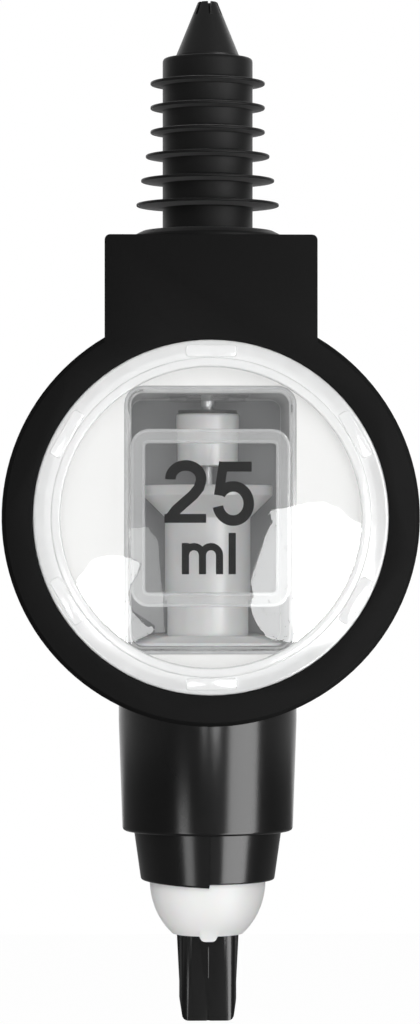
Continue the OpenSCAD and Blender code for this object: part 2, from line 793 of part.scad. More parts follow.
module inlet_valve() {
    skirt_r = valve_r - skirt_inset;
    color(milky) rotate_extrude() polygon([
        [rod_hole_r, valve_low], [skirt_r - skirt_wall, valve_low],
        [skirt_r - skirt_wall, valve_low - skirt_h], [skirt_r, valve_low - skirt_h],
        [skirt_r, valve_low], [valve_r, valve_low], [valve_r, valve_top],
        [rod_hole_r, valve_top]]);
}

module inlet_seal() {
    color(cork_black) ring(seal_r, rod_hole_r, valve_top, seal_top);
}

module outlet_body() {
    groove_h = 2 * outlet_ring_section_r + fit;
    color(milky) difference() {
        union() {
            rotate_extrude() polygon([
                [outlet_bore_r, outlet_low], [outlet_r, outlet_low], [outlet_r, funnel_z],
                [funnel_r, funnel_z + funnel_h], [funnel_r, funnel_top],
                [funnel_r - outlet_wall, funnel_top], [funnel_r - outlet_wall, funnel_z + funnel_h],
                [outlet_bore_r, funnel_z]]);
            difference() {
                intersection() {
                    translate([0, 0, floor_z]) linear_extrude(base_t)
                        polygon(round_rect(base_w, base_d, hollow_corner_r));
                    translate([0, 0, chamber_z]) from_front(-base_d, base_d)
                        polygon(round_rect(hollow_w - 2 * fit, hollow_h, hollow_corner_r));
                }
                upright(outlet_bore_r + outlet_wall / 2, floor_z - over, base_top + over);
            }
        }
        translate([0, 0, floor_z - over])
            difference() {
                cylinder(r = outlet_ring_r + outlet_ring_section_r + fit, h = groove_h + over);
                translate([0, 0, -over])
                    cylinder(r = outlet_ring_r - outlet_ring_section_r - fit,
                             h = groove_h + 3 * over);
            }
        translate([-funnel_r, -port_w / 2, base_top])
            cube([2 * funnel_r, port_w, port_h]);
    }
}

module outlet_o_ring() {
    color(cork_black) o_ring(outlet_ring_r, outlet_ring_section_r,
                             floor_z + outlet_ring_section_r + fit / 2);
}

module lock_nut() {
    color(casing_black) difference() {
        translate([0, 0, chamber_low - nut_t])
            cylinder(r = nut_corner_r, h = nut_t, $fn = 6);
        upright(outlet_hole_r, chamber_low - nut_t - over, chamber_low + over);
    }
}

module outlet_piston() {
    groove_r = piston_ring_mid_r - piston_ring_r - fit / 2;
    mid = (piston_top + piston_low) / 2;
    color(casing_black) difference() {
        union() {
            upright(piston_r, piston_low, piston_top);
            upright(spindle_r, piston_top - eps, piston_top + wing_h);
            for (turn = [0, 90])
                rotate(turn) translate([-piston_r, -wing_t / 2, piston_top - eps])
                    cube([2 * piston_r, wing_t, wing_h + eps]);
        }
        upright(rod_r + fit / 2, piston_low - over, piston_top + wing_h + over);
        ring(piston_r + over, groove_r, mid - piston_ring_r - fit / 2,
             mid + piston_ring_r + fit / 2);
    }
}

module piston_ring() {
    color(cork_black) o_ring(piston_ring_mid_r, piston_ring_r, (piston_top + piston_low) / 2);
}

module spindle() {
    rod_top = seat_low + fit;
    color(steel) {
        upright(spindle_r, spring_low, piston_low);
        upright(rod_r, piston_low - eps, rod_top);
        upright(rod_head_r, rod_top - rod_head_h, rod_top);
    }
}

module spring_seat() {
    seat_outer_r = barrel_bore_r - fit;
    rim_w = ledge_w + 0.4;
    hub_r = spindle_r + slide_fit + 1.1;
    pad_in = coil_r - wire_d;
    pad_out = coil_r + wire_d;
    color(milky) difference() {
        union() {
            ring(seat_outer_r, seat_outer_r - rim_w, spring_top, ledge_z);
            ring(pad_out, pad_in, spring_top, ledge_z);
            upright(hub_r, spring_top, ledge_z);
            for (turn = [0, 90])
                rotate(turn) translate([-seat_outer_r + rim_w / 2, -arm_w / 2, spring_top])
                    cube([2 * seat_outer_r - rim_w, arm_w, spring_seat_t]);
        }
        upright(spindle_r + slide_fit, spring_top - over, ledge_z + over);
    }
}

// Centre of the spring's wire at turn t
function coil_point(t) = let (low = spring_low + wire_d / 2, high = spring_top - wire_d / 2)
    [coil_r * cos(360 * t), coil_r * sin(360 * t), low + (high - low) * t / turns];

module return_spring() {
    rings_per_turn = 8;
    sides = 6;
    steps = turns * rings_per_turn;
    points = [for (i = [0 : steps])
        let (t = i / rings_per_turn, c = coil_point(t))
        for (s = [0 : sides - 1])
            let (a = 360 * s / sides, out = wire_d / 2 * cos(a), up = wire_d / 2 * sin(a))
            [c[0] + out * cos(360 * t), c[1] + out * sin(360 * t), c[2] + up]];
    walls = [for (i = [0 : steps - 1])
        for (s = [0 : sides - 1])
            let (a = i * sides + s, b = i * sides + (s + 1) % sides)
            each [[a, a + sides, b + sides], [a, b + sides, b]]];
    ends = [for (s = [1 : sides - 2])
        each [[0, s, s + 1],
              [steps * sides, steps * sides + s + 1, steps * sides + s]]];
    gap = (coil_point(1) - coil_point(0))[2] - wire_d;
    echo(return_spring_least_gap = gap);
    color(steel) polyhedron(points = points, faces = concat(walls, ends), convexity = 10);
}

module plunger() {
    notch_count = 4;
    notch_in = bar_d / 2 + slide_fit * 3;
    foot_x = bar_w / 2 - bar_taper;
    foot = [for (side = [1, -1])
        each arc([side * (foot_x - bar_end_r), plunger_low + bar_end_r], bar_end_r,
                 side > 0 ? 0 : 270, side > 0 ? -90 : 180)];
    color(gloss_black) {
        difference() {
            upright(plunger_flange_r, plunger_flange_low, spring_low);
            for (i = [0 : notch_count - 1])
                rotate(45 + i * 360 / notch_count)
                    translate([notch_in, -wing_t, plunger_flange_low - over])
                        cube([plunger_flange_r, 2 * wing_t, plunger_flange_t + 2 * over]);
        }
        difference() {
            intersection() {
                from_front(-bar_d / 2, bar_d / 2) polygon(concat(
                    [[-bar_w / 2, plunger_low + bar_taper_h],
                     [-bar_w / 2, plunger_flange_low + eps], [bar_w / 2, plunger_flange_low + eps],
                     [bar_w / 2, plunger_low + bar_taper_h]],
                    foot));
                translate([0, 0, plunger_low]) linear_extrude(spring_low - plunger_low)
                    polygon(round_rect(bar_w, bar_d, bar_corner_r));
            }
            translate([-notch_w / 2, -bar_d / 2 - over, plunger_low - over])
                cube([notch_w, notch_d + over, notch_h + over]);
        }
        from_front(-vane_t / 2, vane_t / 2) polygon([
            [-vane_w / 2, plunger_flange_low + eps], [vane_w / 2, plunger_flange_low + eps],
            [vane_w / 2, nozzle_low], [bar_w / 2 - eps, nozzle_low - vane_reach],
            [-bar_w / 2 + eps, nozzle_low - vane_reach], [-vane_w / 2, nozzle_low]]);
    }
}

module barrel() {
    color(gloss_black) rotate_extrude() polygon(concat(
        [[barrel_bore_up_r, lip_low + barrel_lip_t], [barrel_bore_up_r, ledge_z],
         [barrel_bore_r, ledge_z], [barrel_bore_r, barrel_low]],
        arc([barrel_end_r - barrel_edge_r, barrel_low + barrel_edge_r], barrel_edge_r, -90, 0),
        [[barrel_r, drum_low], [barrel_r, lip_low], [barrel_lip_r, lip_low],
         [barrel_lip_r, lip_low + barrel_lip_t]]));
}

module collar() {
    spigot_r = barrel_bore_r - fit;
    counter_r = nozzle_flange_r + fit;
    color(gloss_black) difference() {
        union() {
            rotate_extrude() polygon([
                [collar_bore_r, collar_low], [collar_end_r, collar_low], [collar_r, barrel_low],
                [spigot_r, barrel_low], [spigot_r, barrel_low + spigot_h],
                [counter_r, barrel_low + spigot_h], [counter_r, nozzle_flange_low],
                [collar_bore_r, nozzle_flange_low]]);
            difference() {
                ring(collar_end_r, collar_bore_r, collar_low - seam_step, collar_low + eps);
                translate([0, -collar_r, collar_low - collar_r])
                    cube([collar_r, 2 * collar_r, 2 * collar_r]);
                translate([-collar_end_r, 0, collar_low])
                    rotate([0, atan(seam_step / collar_end_r), 0])
                        translate([-collar_r, -collar_r, -collar_r])
                            cube([3 * collar_r, 2 * collar_r, collar_r]);
            }
        }
        translate([-seam_w / 2, -collar_r - over, collar_low - seam_step - over])
            cube([seam_w, over + collar_r - collar_end_r + seam_d,
                  seam_step + over + collar_h]);
    }
}

module nozzle() {
    steps = 7;
    flange_low = nozzle_flange_low;
    dome = [for (i = [0 : steps])
        let (drop = nozzle_h * (1 - i / steps))
        [nozzle_r * sqrt(1 - pow(drop / dome_h, 2)), collar_low - drop]];
    color(fascia_white) difference() {
        union() {
            rotate_extrude() polygon(concat(
                [[mouth_r, nozzle_ledge], [mouth_r, nozzle_low]],
                dome,
                [[nozzle_r, flange_low], [nozzle_flange_r, flange_low],
                 [nozzle_flange_r, flange_low + nozzle_flange_t],
                 [nozzle_bore_r, flange_low + nozzle_flange_t], [nozzle_bore_r, nozzle_ledge]]));
            intersection() {
                ring(mouth_outer_r + mouth_wall, mouth_r, nozzle_low - tab_h, nozzle_low + tab_h);
                translate([-tab_w / 2, -nozzle_r, nozzle_low - tab_h])
                    cube([tab_w, nozzle_r, 2 * tab_h]);
            }
        }
        upright(mouth_r, nozzle_low - tab_h - over, nozzle_ledge + over);
    }
}

module bracket_boss() {
    tongue_back = drum_rear + (bracket_t - tongue_t) / 2;
    color(casing_black) difference() {
        translate([0, 0, drum_z]) from_front(-drum_rear - bracket_t, -drum_rear)
            polygon(round_rect(bracket_w, bracket_h, bracket_corner_r));
        translate([-tongue_w / 2, tongue_back, drum_z - bracket_h / 2 - over])
            cube([tongue_w, tongue_t, tongue_h + over]);
        at_posts() {
            rod_ahead(0, 0, screw_r + fit, -drum_rear - bracket_t - over, -drum_rear + over);
            rod_ahead(0, 0, screw_head_r + fit, -drum_rear - bracket_t - over,
                      -drum_rear - bracket_t + screw_recess);
        }
    }
}

module bracket_screws() {
    bracket_screw_l = drum_rear + bracket_t - screw_recess
        - (chamber_rear + fit + post_cap + screw_tip_gap);
    color(steel) at_posts() screw(drum_rear + bracket_t - screw_recess, bracket_screw_l);
}

cork();
inlet_tube();
air_tube();
inlet_o_ring();
front_casing();
rear_casing();
casing_screws();
lens();
lens_gasket();
fascia();
chamber();
chamber_window();
inlet_seat();
inlet_valve();
inlet_seal();
outlet_body();
outlet_o_ring();
lock_nut();
outlet_piston();
piston_ring();
spindle();
spring_seat();
return_spring();
plunger();
barrel();
collar();
nozzle();
bracket_boss();
bracket_screws();
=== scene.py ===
"""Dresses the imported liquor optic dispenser: its finishes, forms, studio and camera.

Lengths are in millimetres, unless a name or a docstring says metres. The frame is the
row frame: +Z up, the lens faces -Y, and the origin is the middle of the cork flange's
top face.
"""

from __future__ import annotations

import json
import logging
import math
from collections.abc import Callable, Iterable, Sequence
from dataclasses import dataclass, field, replace
from enum import Enum

import bmesh
import bpy
from mathutils import Euler, Matrix, Vector

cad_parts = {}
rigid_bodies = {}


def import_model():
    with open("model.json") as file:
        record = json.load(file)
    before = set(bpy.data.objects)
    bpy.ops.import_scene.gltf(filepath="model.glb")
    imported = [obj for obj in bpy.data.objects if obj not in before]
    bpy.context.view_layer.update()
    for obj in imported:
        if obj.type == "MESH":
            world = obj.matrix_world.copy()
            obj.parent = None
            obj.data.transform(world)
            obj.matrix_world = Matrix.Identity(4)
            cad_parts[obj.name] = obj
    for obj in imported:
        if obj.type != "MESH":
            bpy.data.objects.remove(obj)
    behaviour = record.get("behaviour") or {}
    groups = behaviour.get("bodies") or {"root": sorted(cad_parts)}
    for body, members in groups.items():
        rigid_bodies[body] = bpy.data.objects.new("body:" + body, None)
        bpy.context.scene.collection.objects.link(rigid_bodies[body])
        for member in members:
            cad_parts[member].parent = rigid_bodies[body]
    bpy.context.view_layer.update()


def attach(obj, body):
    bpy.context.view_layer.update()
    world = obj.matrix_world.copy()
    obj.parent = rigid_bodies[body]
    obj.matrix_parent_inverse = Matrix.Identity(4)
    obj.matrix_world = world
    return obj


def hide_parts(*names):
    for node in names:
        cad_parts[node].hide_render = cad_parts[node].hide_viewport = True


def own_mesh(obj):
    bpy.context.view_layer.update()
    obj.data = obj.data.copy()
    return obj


log = logging.getLogger("optic")

Piece = bpy.types.Object
Mesh = bmesh.types.BMesh
Tree = bpy.types.NodeTree
Point = tuple[float, float, float]
Profile = list[tuple[float, float]]
Stroke = tuple[Profile, float]
Place = Callable[[float, float, float], Point]

MM = 0.001
AROUND = 96  # Steps round a turned piece
FINE_AROUND = 192
FILLET_STEPS = 4
CORNER_STEPS = 6
STRAIGHT = math.radians(178)  # Corners flatter than this take no fillet
MAX_REACH = 0.49  # The share of an edge that one fillet can take
SMOOTH_ANGLE = math.radians(32)
SHARP_ANGLE = math.radians(30)  # CAD edges sharper than this are softened
FLAT_ANGLE = math.radians(0.5)  # CAD edges flatter than this are dissolved
BEVEL_STEPS = 3
WELD_MM, CAD_WELD_M = 1e-5, 2e-6
AXIS_R = 1e-6  # Radii below this are one point on the axis
ON_MIDDLE = 1e-3  # How near X = 0 counts as on it
PATCH_DETAIL, GRAIN_DETAIL = 3.0, 2.0
SHEEN_ROUGHNESS = 0.35
SCATTER_MM = 1.5
FACING = 0.9  # How squarely a face looks along Y to count as front or back


class Body(str, Enum):
    """The bodies that a piece can ride on."""

    CASING = "casing"
    PLUNGER = "plunger"
    INLET_VALVE = "inlet_valve"


class Turn(Enum):
    """The axis that a profile is turned about."""

    SPINDLE = "spindle"
    DRUM = "drum"


# --- Finishes -------------------------------------------------------------------------


def linear(hex_colour: str) -> tuple[float, float, float, float]:
    """Turns an sRGB hex colour to linear light.

    Args:
        hex_colour: A hash and six hex digits.

    Returns:
        Red, green, blue and an alpha of 1.
    """
    channels = (int(hex_colour[i : i + 2], 16) / 255 for i in (1, 3, 5))
    red, green, blue = (
        c / 12.92 if c <= 0.04045 else ((c + 0.055) / 1.055) ** 2.4 for c in channels
    )
    return red, green, blue, 1.0


def add_node(
    tree: Tree,
    kind: str,
    inputs: dict[str | int, object] | None = None,
    **settings: object,
) -> bpy.types.Node:
    """Adds a node, sets it and links it.

    Args:
        tree: The shader or geometry tree.
        kind: The node's type name.
        inputs: Values or output sockets, by input name or number.
        **settings: Attributes to set on the node.

    Returns:
        The node.
    """
    node = tree.nodes.new(kind)
    for name, value in settings.items():
        setattr(node, name, value)
    for key, value in (inputs or {}).items():
        if isinstance(value, bpy.types.NodeSocket):
            tree.links.new(value, node.inputs[key])
        else:
            node.inputs[key].default_value = value
    return node


def blank_tree(owner: bpy.types.Material | bpy.types.World) -> Tree:
    """Empties an owner's shader tree.

    Args:
        owner: A new material or world.

    Returns:
        Its tree.
    """
    owner.use_nodes = True
    owner.node_tree.nodes.clear()
    return owner.node_tree


@dataclass(frozen=True)
class Finish:
    """A moulded or turned surface, as a principled shader with its own grain.

    The colour drifts between two near shades in soft patches, and a fine grain makes
    the bump and breaks up the gloss.
    """

    name: str
    slot: str
    light: str
    dark: str
    roughness: float
    roughness_spread: float = 0.06
    metallic: float = 0.0
    specular: float = 0.5
    alpha: float = 1.0
    patch_mm: float = 12.0
    grain_mm: float = 0.25
    grain_height_mm: float = 0.01
    stretch: Point = (1.0, 1.0, 1.0)
    subsurface: float = 0.0
    sheen: float = 0.0

    def material(self) -> bpy.types.Material:
        """Makes the material, once.

        Returns:
            The material of this name.
        """
        made = bpy.data.materials.get(self.name)
        if made:
            return made
        made = bpy.data.materials.new(self.name)
        tree = blank_tree(made)
        place = add_node(tree, "ShaderNodeTexCoord").outputs["Object"]
        turned = add_node(
            tree, "ShaderNodeMapping", {"Vector": place, "Scale": self.stretch}
        ).outputs["Vector"]
        patches, grain = (
            add_node(
                tree,
                "ShaderNodeTexNoise",
                {"Vector": turned, "Scale": 1.0 / (size * MM), "Detail": detail},
            ).outputs["Fac"]
            for size, detail in (
                (self.patch_mm, PATCH_DETAIL),
                (self.grain_mm, GRAIN_DETAIL),
            )
        )
        colour = add_node(
            tree,
            "ShaderNodeMix",
            {0: patches, 6: linear(self.dark), 7: linear(self.light)},
            data_type="RGBA",
        )
        gloss = add_node(
            tree,
            "ShaderNodeMapRange",
            {
                "Value": grain,
                "To Min": max(0.0, self.roughness - self.roughness_spread),
                "To Max": min(1.0, self.roughness + self.roughness_spread),
            },
        )
        bump = add_node(
            tree,
            "ShaderNodeBump",
            {"Strength": 1.0, "Distance": self.grain_height_mm * MM, "Height": grain},
        )
        shader = add_node(
            tree,
            "ShaderNodeBsdfPrincipled",
            {
                "Base Color": colour.outputs[2],
                "Roughness": gloss.outputs["Result"],
                "Metallic": self.metallic,
                "Specular IOR Level": self.specular,
                "Alpha": self.alpha,
                "Sheen Weight": self.sheen,
                "Sheen Roughness": SHEEN_ROUGHNESS,
                "Subsurface Weight": self.subsurface,
                "Subsurface Scale": SCATTER_MM * MM,
                "Normal": bump.outputs["Normal"],
            },
        )
        add_node(tree, "ShaderNodeOutputMaterial", {"Surface": shader.outputs["BSDF"]})
        return made


# Moulded ABS with a spark-eroded texture: a deep, even black with almost no highlight
MATTE_ABS = Finish(
    "matte_abs", "casing_plastic", "#0d0d0d", "#090909", roughness=0.62,
    specular=0.03, patch_mm=18.0, grain_mm=0.35, grain_height_mm=0.012,
)
# Soft moulded rubber: a little lighter than the casing, with a wide satin sheen
SOFT_RUBBER = Finish(
    "soft_rubber", "cork_rubber", "#171717", "#101010", roughness=0.55,
    specular=0.05, sheen=0.22, patch_mm=6.0, grain_mm=0.3, grain_height_mm=0.008,
)
# Black nitrile seals, moulded and dull
SEAL_RUBBER = Finish(
    "seal_rubber", "seal_rubber", "#1e1e1e", "#141414", roughness=0.7,
    specular=0.2, patch_mm=3.0, grain_mm=0.2, grain_height_mm=0.006,
)
# Natural silicone: a soft, cloudy white
GASKET_SILICONE = Finish(
    "gasket_silicone", "gasket_silicone", "#ececec", "#e0e0e0", roughness=0.55,
    specular=0.3, patch_mm=5.0, grain_mm=0.3, grain_height_mm=0.004, subsurface=0.1,
)
# Polished ABS: black with long, slightly soft highlights
GLOSS_ABS = Finish(
    "gloss_abs", "gloss_black_plastic", "#121212", "#0b0b0b", roughness=0.2,
    roughness_spread=0.03, specular=0.16, patch_mm=20.0, grain_mm=0.6,
    grain_height_mm=0.0015,
)
# The same plastic off a satin tool
GLOSS_ABS_SOFT = Finish(
    "satin_abs", "casing_plastic", "#161616", "#101010", roughness=0.42,
    roughness_spread=0.05, specular=0.12, grain_mm=0.4, grain_height_mm=0.004,
)
# Moulded acetal: a clean, slightly translucent white with a soft shine
WHITE_ACETAL = Finish(
    "white_acetal", "white_plastic", "#f6f6f5", "#f0f0ef", roughness=0.45,
    specular=0.1, patch_mm=9.0, grain_mm=0.4, grain_height_mm=0.004, subsurface=0.12,
)
# Natural polypropylene: greyer than the white, as if a little light comes through
MILKY_PP = Finish(
    "milky_polypropylene", "milky_plastic", "#f0f0f0", "#e4e4e4", roughness=0.38,
    specular=0.4, patch_mm=7.0, grain_mm=0.5, grain_height_mm=0.004, subsurface=0.15,
)
# The same plastic in a thin moulding, which lets what is behind it show
THIN_PP = Finish(
    "thin_polypropylene", "milky_plastic", "#c6c6c6", "#bcbcbc", roughness=0.3,
    specular=0.3, alpha=0.16, patch_mm=7.0, grain_mm=0.5, grain_height_mm=0.003,
)
# The spindle's steel, tumbled to a pale satin
SATIN_STEEL = Finish(
    "satin_steel", "steel", "#e4e5e6", "#d8d9da", roughness=0.5, metallic=0.6,
    patch_mm=4.0, grain_mm=0.15, grain_height_mm=0.003, stretch=(1.0, 1.0, 0.12),
)
# Drawn stainless steel, bright along its length
STAINLESS = replace(
    SATIN_STEEL, name="stainless_steel", light="#b9bbbd", dark="#a4a6a8",
    roughness=0.26, roughness_spread=0.08, metallic=1.0,
)
# The white plate behind the lens
FASCIA_WHITE = Finish(
    "fascia_white", "white_plastic", "#e8e8e7", "#e3e3e2", roughness=0.45,
    specular=0.3, patch_mm=16.0, grain_mm=0.5, grain_height_mm=0.003,
)
# Clear polycarbonate: light goes through but for a sixtieth, which its face mirrors
CLEAR_LENS = Finish(
    "clear_polycarbonate", "clear_lens", "#fdfefe", "#fafbfb", roughness=0.015,
    roughness_spread=0.004, metallic=1.0, alpha=0.016, patch_mm=25.0, grain_mm=1.2,
    grain_height_mm=0.0004,
)
# Its back, which hardly shows
CLEAR_LENS_BACK = replace(
    CLEAR_LENS, name="clear_polycarbonate_back", roughness=0.02,
    roughness_spread=0.01, metallic=0.0, specular=0.2, alpha=0.004,
)
# Its rim, bead and lugs: painted light, as a pale, nearly opaque clear plastic
CLEAR_RIM = Finish(
    "clear_polycarbonate_rim", "clear_lens", "#f7f7f7", "#eff0f0", roughness=0.06,
    roughness_spread=0.02, specular=0.4, alpha=0.8, patch_mm=10.0, grain_mm=0.8,
    grain_height_mm=0.001,
)
# Clear moulded SAN, pale and mostly opaque: painted light on the chamber's walls
CLEAR_CHAMBER = Finish(
    "clear_san", "clear_chamber", "#f7f7f7", "#eeefef", roughness=0.07,
    roughness_spread=0.02, specular=0.15, alpha=0.72, grain_mm=0.9,
    grain_height_mm=0.001,
)
# Its back wall: a greyer copy, as painted shade, that lets the dark casing through
CLEAR_BACK = replace(
    CLEAR_CHAMBER, name="clear_san_back", light="#cdcecf", dark="#bcbdbe",
    roughness=0.08, specular=0.0, alpha=0.47,
)
# The same plastic at its thick edges: a paler, denser copy, as painted light
CLEAR_EDGE = Finish(
    "clear_san_edge", "clear_chamber", "#e6e7e7", "#d4d5d6", roughness=0.1,
    roughness_spread=0.03, alpha=0.36, patch_mm=6.0, grain_mm=0.8,
    grain_height_mm=0.001,
)
# The flat of the panel's border, between those edges, also with painted light
CLEAR_BAND = replace(
    CLEAR_EDGE, name="clear_san_band", dark="#d8d9d9", roughness=0.08, specular=0.4,
    alpha=0.26,
)
# The window's thin face, which hides almost nothing
CLEAR_PANEL = Finish(
    "clear_san_face", "clear_chamber", "#d9dadb", "#cfd0d1", roughness=0.05,
    roughness_spread=0.02, specular=0.2, alpha=0.03, grain_mm=1.0,
    grain_height_mm=0.0008,
)
# Pad-printed ink: opaque and dull, a shade softer than black
PAD_INK = Finish(
    "pad_ink", "casing_plastic", "#141414", "#0e0e0e", roughness=0.45,
    specular=0.03, patch_mm=8.0, grain_mm=0.15, grain_height_mm=0.003,
)


# --- Mesh helpers ---------------------------------------------------------------------


def rounded(corners: Sequence[Point]) -> Profile:
    """Rounds the corners of a closed outline.

    Args:
        corners: Each corner's two coordinates and its fillet radius.

    Returns:
        The outline's points.
    """
    points: Profile = []
    for i, (x, y, radius) in enumerate(corners):
        here = Vector((x, y))
        before = Vector(corners[i - 1][:2]) - here
        after = Vector(corners[(i + 1) % len(corners)][:2]) - here
        angle = before.angle(after) if before.length and after.length else math.pi
        if radius <= 0 or angle > STRAIGHT:
            points.append((x, y))
            continue
        longest = MAX_REACH * min(before.length, after.length)
        reach = min(radius / math.tan(angle / 2), longest)
        start = here + before.normalized() * reach
        end = here + after.normalized() * reach
        for k in range(FILLET_STEPS + 1):
            t = k / FILLET_STEPS
            # A quadratic curve from start to end that bends at the corner
            bent = start * (1 - t) ** 2 + here * 2 * t * (1 - t) + end * t**2
            points.append((bent.x, bent.y))
    return points


def rounded_rectangle(
    width: float,
    height: float,
    radius: float,
    middle: float = 0.0,
    steps: int = CORNER_STEPS,
) -> Profile:
    """Draws a rectangle with round corners.

    Args:
        width: Its width.
        height: Its height.
        radius: The radius of its corners.
        middle: The height of its middle.
        steps: The number of steps round a corner.

    Returns:
        The outline's points.
    """
    points: Profile = []
    for sx, sy, start in ((1, 1, 0), (-1, 1, 90), (-1, -1, 180), (1, -1, 270)):
        for k in range(steps + 1):
            a = math.radians(start + 90 * k / steps)
            u = sx * (width / 2 - radius) + radius * math.cos(a)
            v = sy * (height / 2 - radius) + radius * math.sin(a) + middle
            points.append((u, v))
    return points


def add_object(name: str, mesh: Mesh, *materials: bpy.types.Material) -> Piece:
    """Turns a mesh in metres into an object in the scene.

    Args:
        name: The object's name.
        mesh: Its mesh, which is freed.
        *materials: Its materials.

    Returns:
        The object.
    """
    data = bpy.data.meshes.new(name)
    mesh.to_mesh(data)
    mesh.free()
    for material in materials:
        data.materials.append(material)
    made = bpy.data.objects.new(name, data)
    bpy.context.scene.collection.objects.link(made)
    return made


def smooth(data: bpy.types.Mesh) -> None:
    """Shades a mesh smooth but for its sharp edges."""
    data.shade_smooth()
    data.set_sharp_from_angle(angle=SMOOTH_ANGLE)


def new_piece(name: str, mesh: Mesh, finish: Finish) -> Piece:
    """Turns a mesh in millimetres into a piece with one finish.

    Args:
        name: The piece's name.
        mesh: The mesh, which is freed.
        finish: Its finish.

    Returns:
        The piece.
    """
    bmesh.ops.remove_doubles(mesh, verts=mesh.verts, dist=WELD_MM)
    bmesh.ops.recalc_face_normals(mesh, faces=mesh.faces)
    bmesh.ops.scale(mesh, vec=(MM, MM, MM), verts=mesh.verts)
    piece = add_object(name, mesh, finish.material())
    smooth(piece.data)
    # A clear piece lets the light through to what stands behind it
    piece.visible_shadow = finish.alpha >= 1.0
    log.info("made %s with %d faces", name, len(piece.data.polygons))
    return piece


def join_rings(mesh: Mesh, rings: Sequence[Sequence[bmesh.types.BMVert]]) -> None:
    """Lays faces from each ring of vertices to the next.

    Args:
        mesh: The rings' mesh.
        rings: Rings of the same count, or of one point on the axis.
    """
    for low, high in zip(rings, rings[1:]):
        around = max(len(low), len(high))
        for k in range(around if around > 1 else 0):
            corners = (
                low[k % len(low)],
                low[(k + 1) % len(low)],
                high[(k + 1) % len(high)],
                high[k % len(high)],
            )
            mesh.faces.new(list(dict.fromkeys(corners)))


def lathe(
    profile: Profile,
    turn: Turn = Turn.SPINDLE,
    centre_z: float = 0.0,
    around: int = AROUND,
) -> Mesh:
    """Turns a closed profile into a shell.

    Args:
        profile: Points of radius and height, or of radius and distance ahead.
        turn: The axis.
        centre_z: The height of the drum's axis.
        around: The number of steps round the axis.

    Returns:
        The shell.
    """
    mesh = bmesh.new()
    rings = []
    for radius, along in profile:
        ring = []
        for k in range(1 if abs(radius) < AXIS_R else around):
            angle = 2 * math.pi * k / around
            c, s = radius * math.cos(angle), radius * math.sin(angle)
            upright = turn is Turn.SPINDLE
            point = (c, s, along) if upright else (c, -along, centre_z + s)
            ring.append(mesh.verts.new(point))
        rings.append(ring)
    join_rings(mesh, [*rings, rings[0]])
    return mesh


def tower(
    levels: Sequence[tuple[Profile, float]], place: Place, closed: bool = False
) -> Mesh:
    """Joins a stack of outlines with the same number of points.

    Args:
        levels: Each outline and its height along the stack.
        place: Turns an outline's two coordinates and the height to a point.
        closed: Whether the last level joins the first, in place of caps on both.

    Returns:
        The shell.
    """
    mesh = bmesh.new()
    rings = [
        [mesh.verts.new(place(u, v, height)) for u, v in outline]
        for outline, height in levels
    ]
    join_rings(mesh, [*rings, rings[0]] if closed else rings)
    if not closed:
        mesh.faces.new(rings[0])
        mesh.faces.new(rings[-1])
    return mesh


def towards_front(u: float, v: float, ahead: float) -> Point:
    """Places an outline drawn in X and Z at a distance ahead of the split plane."""
    return u, -ahead, v


def upwards(u: float, v: float, height: float) -> Point:
    """Places an outline drawn in X and Y at a height."""
    return u, v, height


def soft_block(
    size: Point,
    radius: float,
    low: float,
    edge: float,
    middle: float = 0.0,
    steps: int = CORNER_STEPS,
) -> Mesh:
    """Makes a block that draws in at its back and front, as a moulded edge does.

    Args:
        size: Its width, its height and its depth.
        radius: The radius of its corners.
        low: Where it starts ahead of the split plane.
        edge: The radius of its edges.
        middle: The height of its middle.
        steps: The number of steps round a corner.

    Returns:
        The block.
    """
    width, height, depth = size
    angles = [math.pi / 2 * k / FILLET_STEPS for k in range(FILLET_STEPS + 1)]
    ends = [(edge * (1 - math.sin(a)), edge * (1 - math.cos(a))) for a in angles]
    stack = [(inset, low + rise) for inset, rise in ends]
    stack += [(inset, low + depth - rise) for inset, rise in reversed(ends)]
    levels = [
        (rounded_rectangle(width - 2 * i, height - 2 * i, radius, middle, steps), ahead)
        for i, ahead in stack
    ]
    return tower(levels, towards_front)


def cad_copy(node: str, name: str, finish: Finish, edge: float) -> Piece:
    """Copies a CAD node's shape, welds it and softens its edges.

    Args:
        node: The node.
        name: The copy's name.
        finish: Its finish.
        edge: The radius of its edges.

    Returns:
        The copy.
    """
    mesh = bmesh.new()
    mesh.from_mesh(bpy.data.objects[node].data)
    bmesh.ops.remove_doubles(mesh, verts=mesh.verts, dist=CAD_WELD_M)
    bmesh.ops.dissolve_limit(
        mesh, angle_limit=FLAT_ANGLE, verts=mesh.verts, edges=mesh.edges
    )
    sharp = [
        e
        for e in mesh.edges
        if len(e.link_faces) == 2 and e.calc_face_angle() > SHARP_ANGLE
    ]
    bmesh.ops.bevel(
        mesh,
        geom=sharp,
        offset=edge * MM,
        segments=BEVEL_STEPS,
        profile=0.5,
        affect="EDGES",
        clamp_overlap=True,
    )
    bmesh.ops.scale(mesh, vec=(1 / MM,) * 3, verts=mesh.verts)
    return new_piece(name, mesh, finish)


def paint_faces(
    piece: Piece, finish: Finish, chosen: Callable[[bpy.types.MeshPolygon], bool]
) -> None:
    """Gives some of a piece's faces a second finish.

    Args:
        piece: The piece.
        finish: The second finish.
        chosen: Whether a face has it.
    """
    piece.data.materials.append(finish.material())
    for face in piece.data.polygons:
        if chosen(face):
            face.material_index = len(piece.data.materials) - 1


def bake_modifiers(piece: Piece) -> None:
    """Puts the result of a piece's modifiers in a plain mesh and removes them.

    Args:
        piece: The piece.
    """
    bpy.context.view_layer.update()
    evaluated = piece.evaluated_get(bpy.context.evaluated_depsgraph_get())
    data = bpy.data.meshes.new_from_object(evaluated)
    piece.modifiers.clear()
    piece.data = data
    smooth(data)


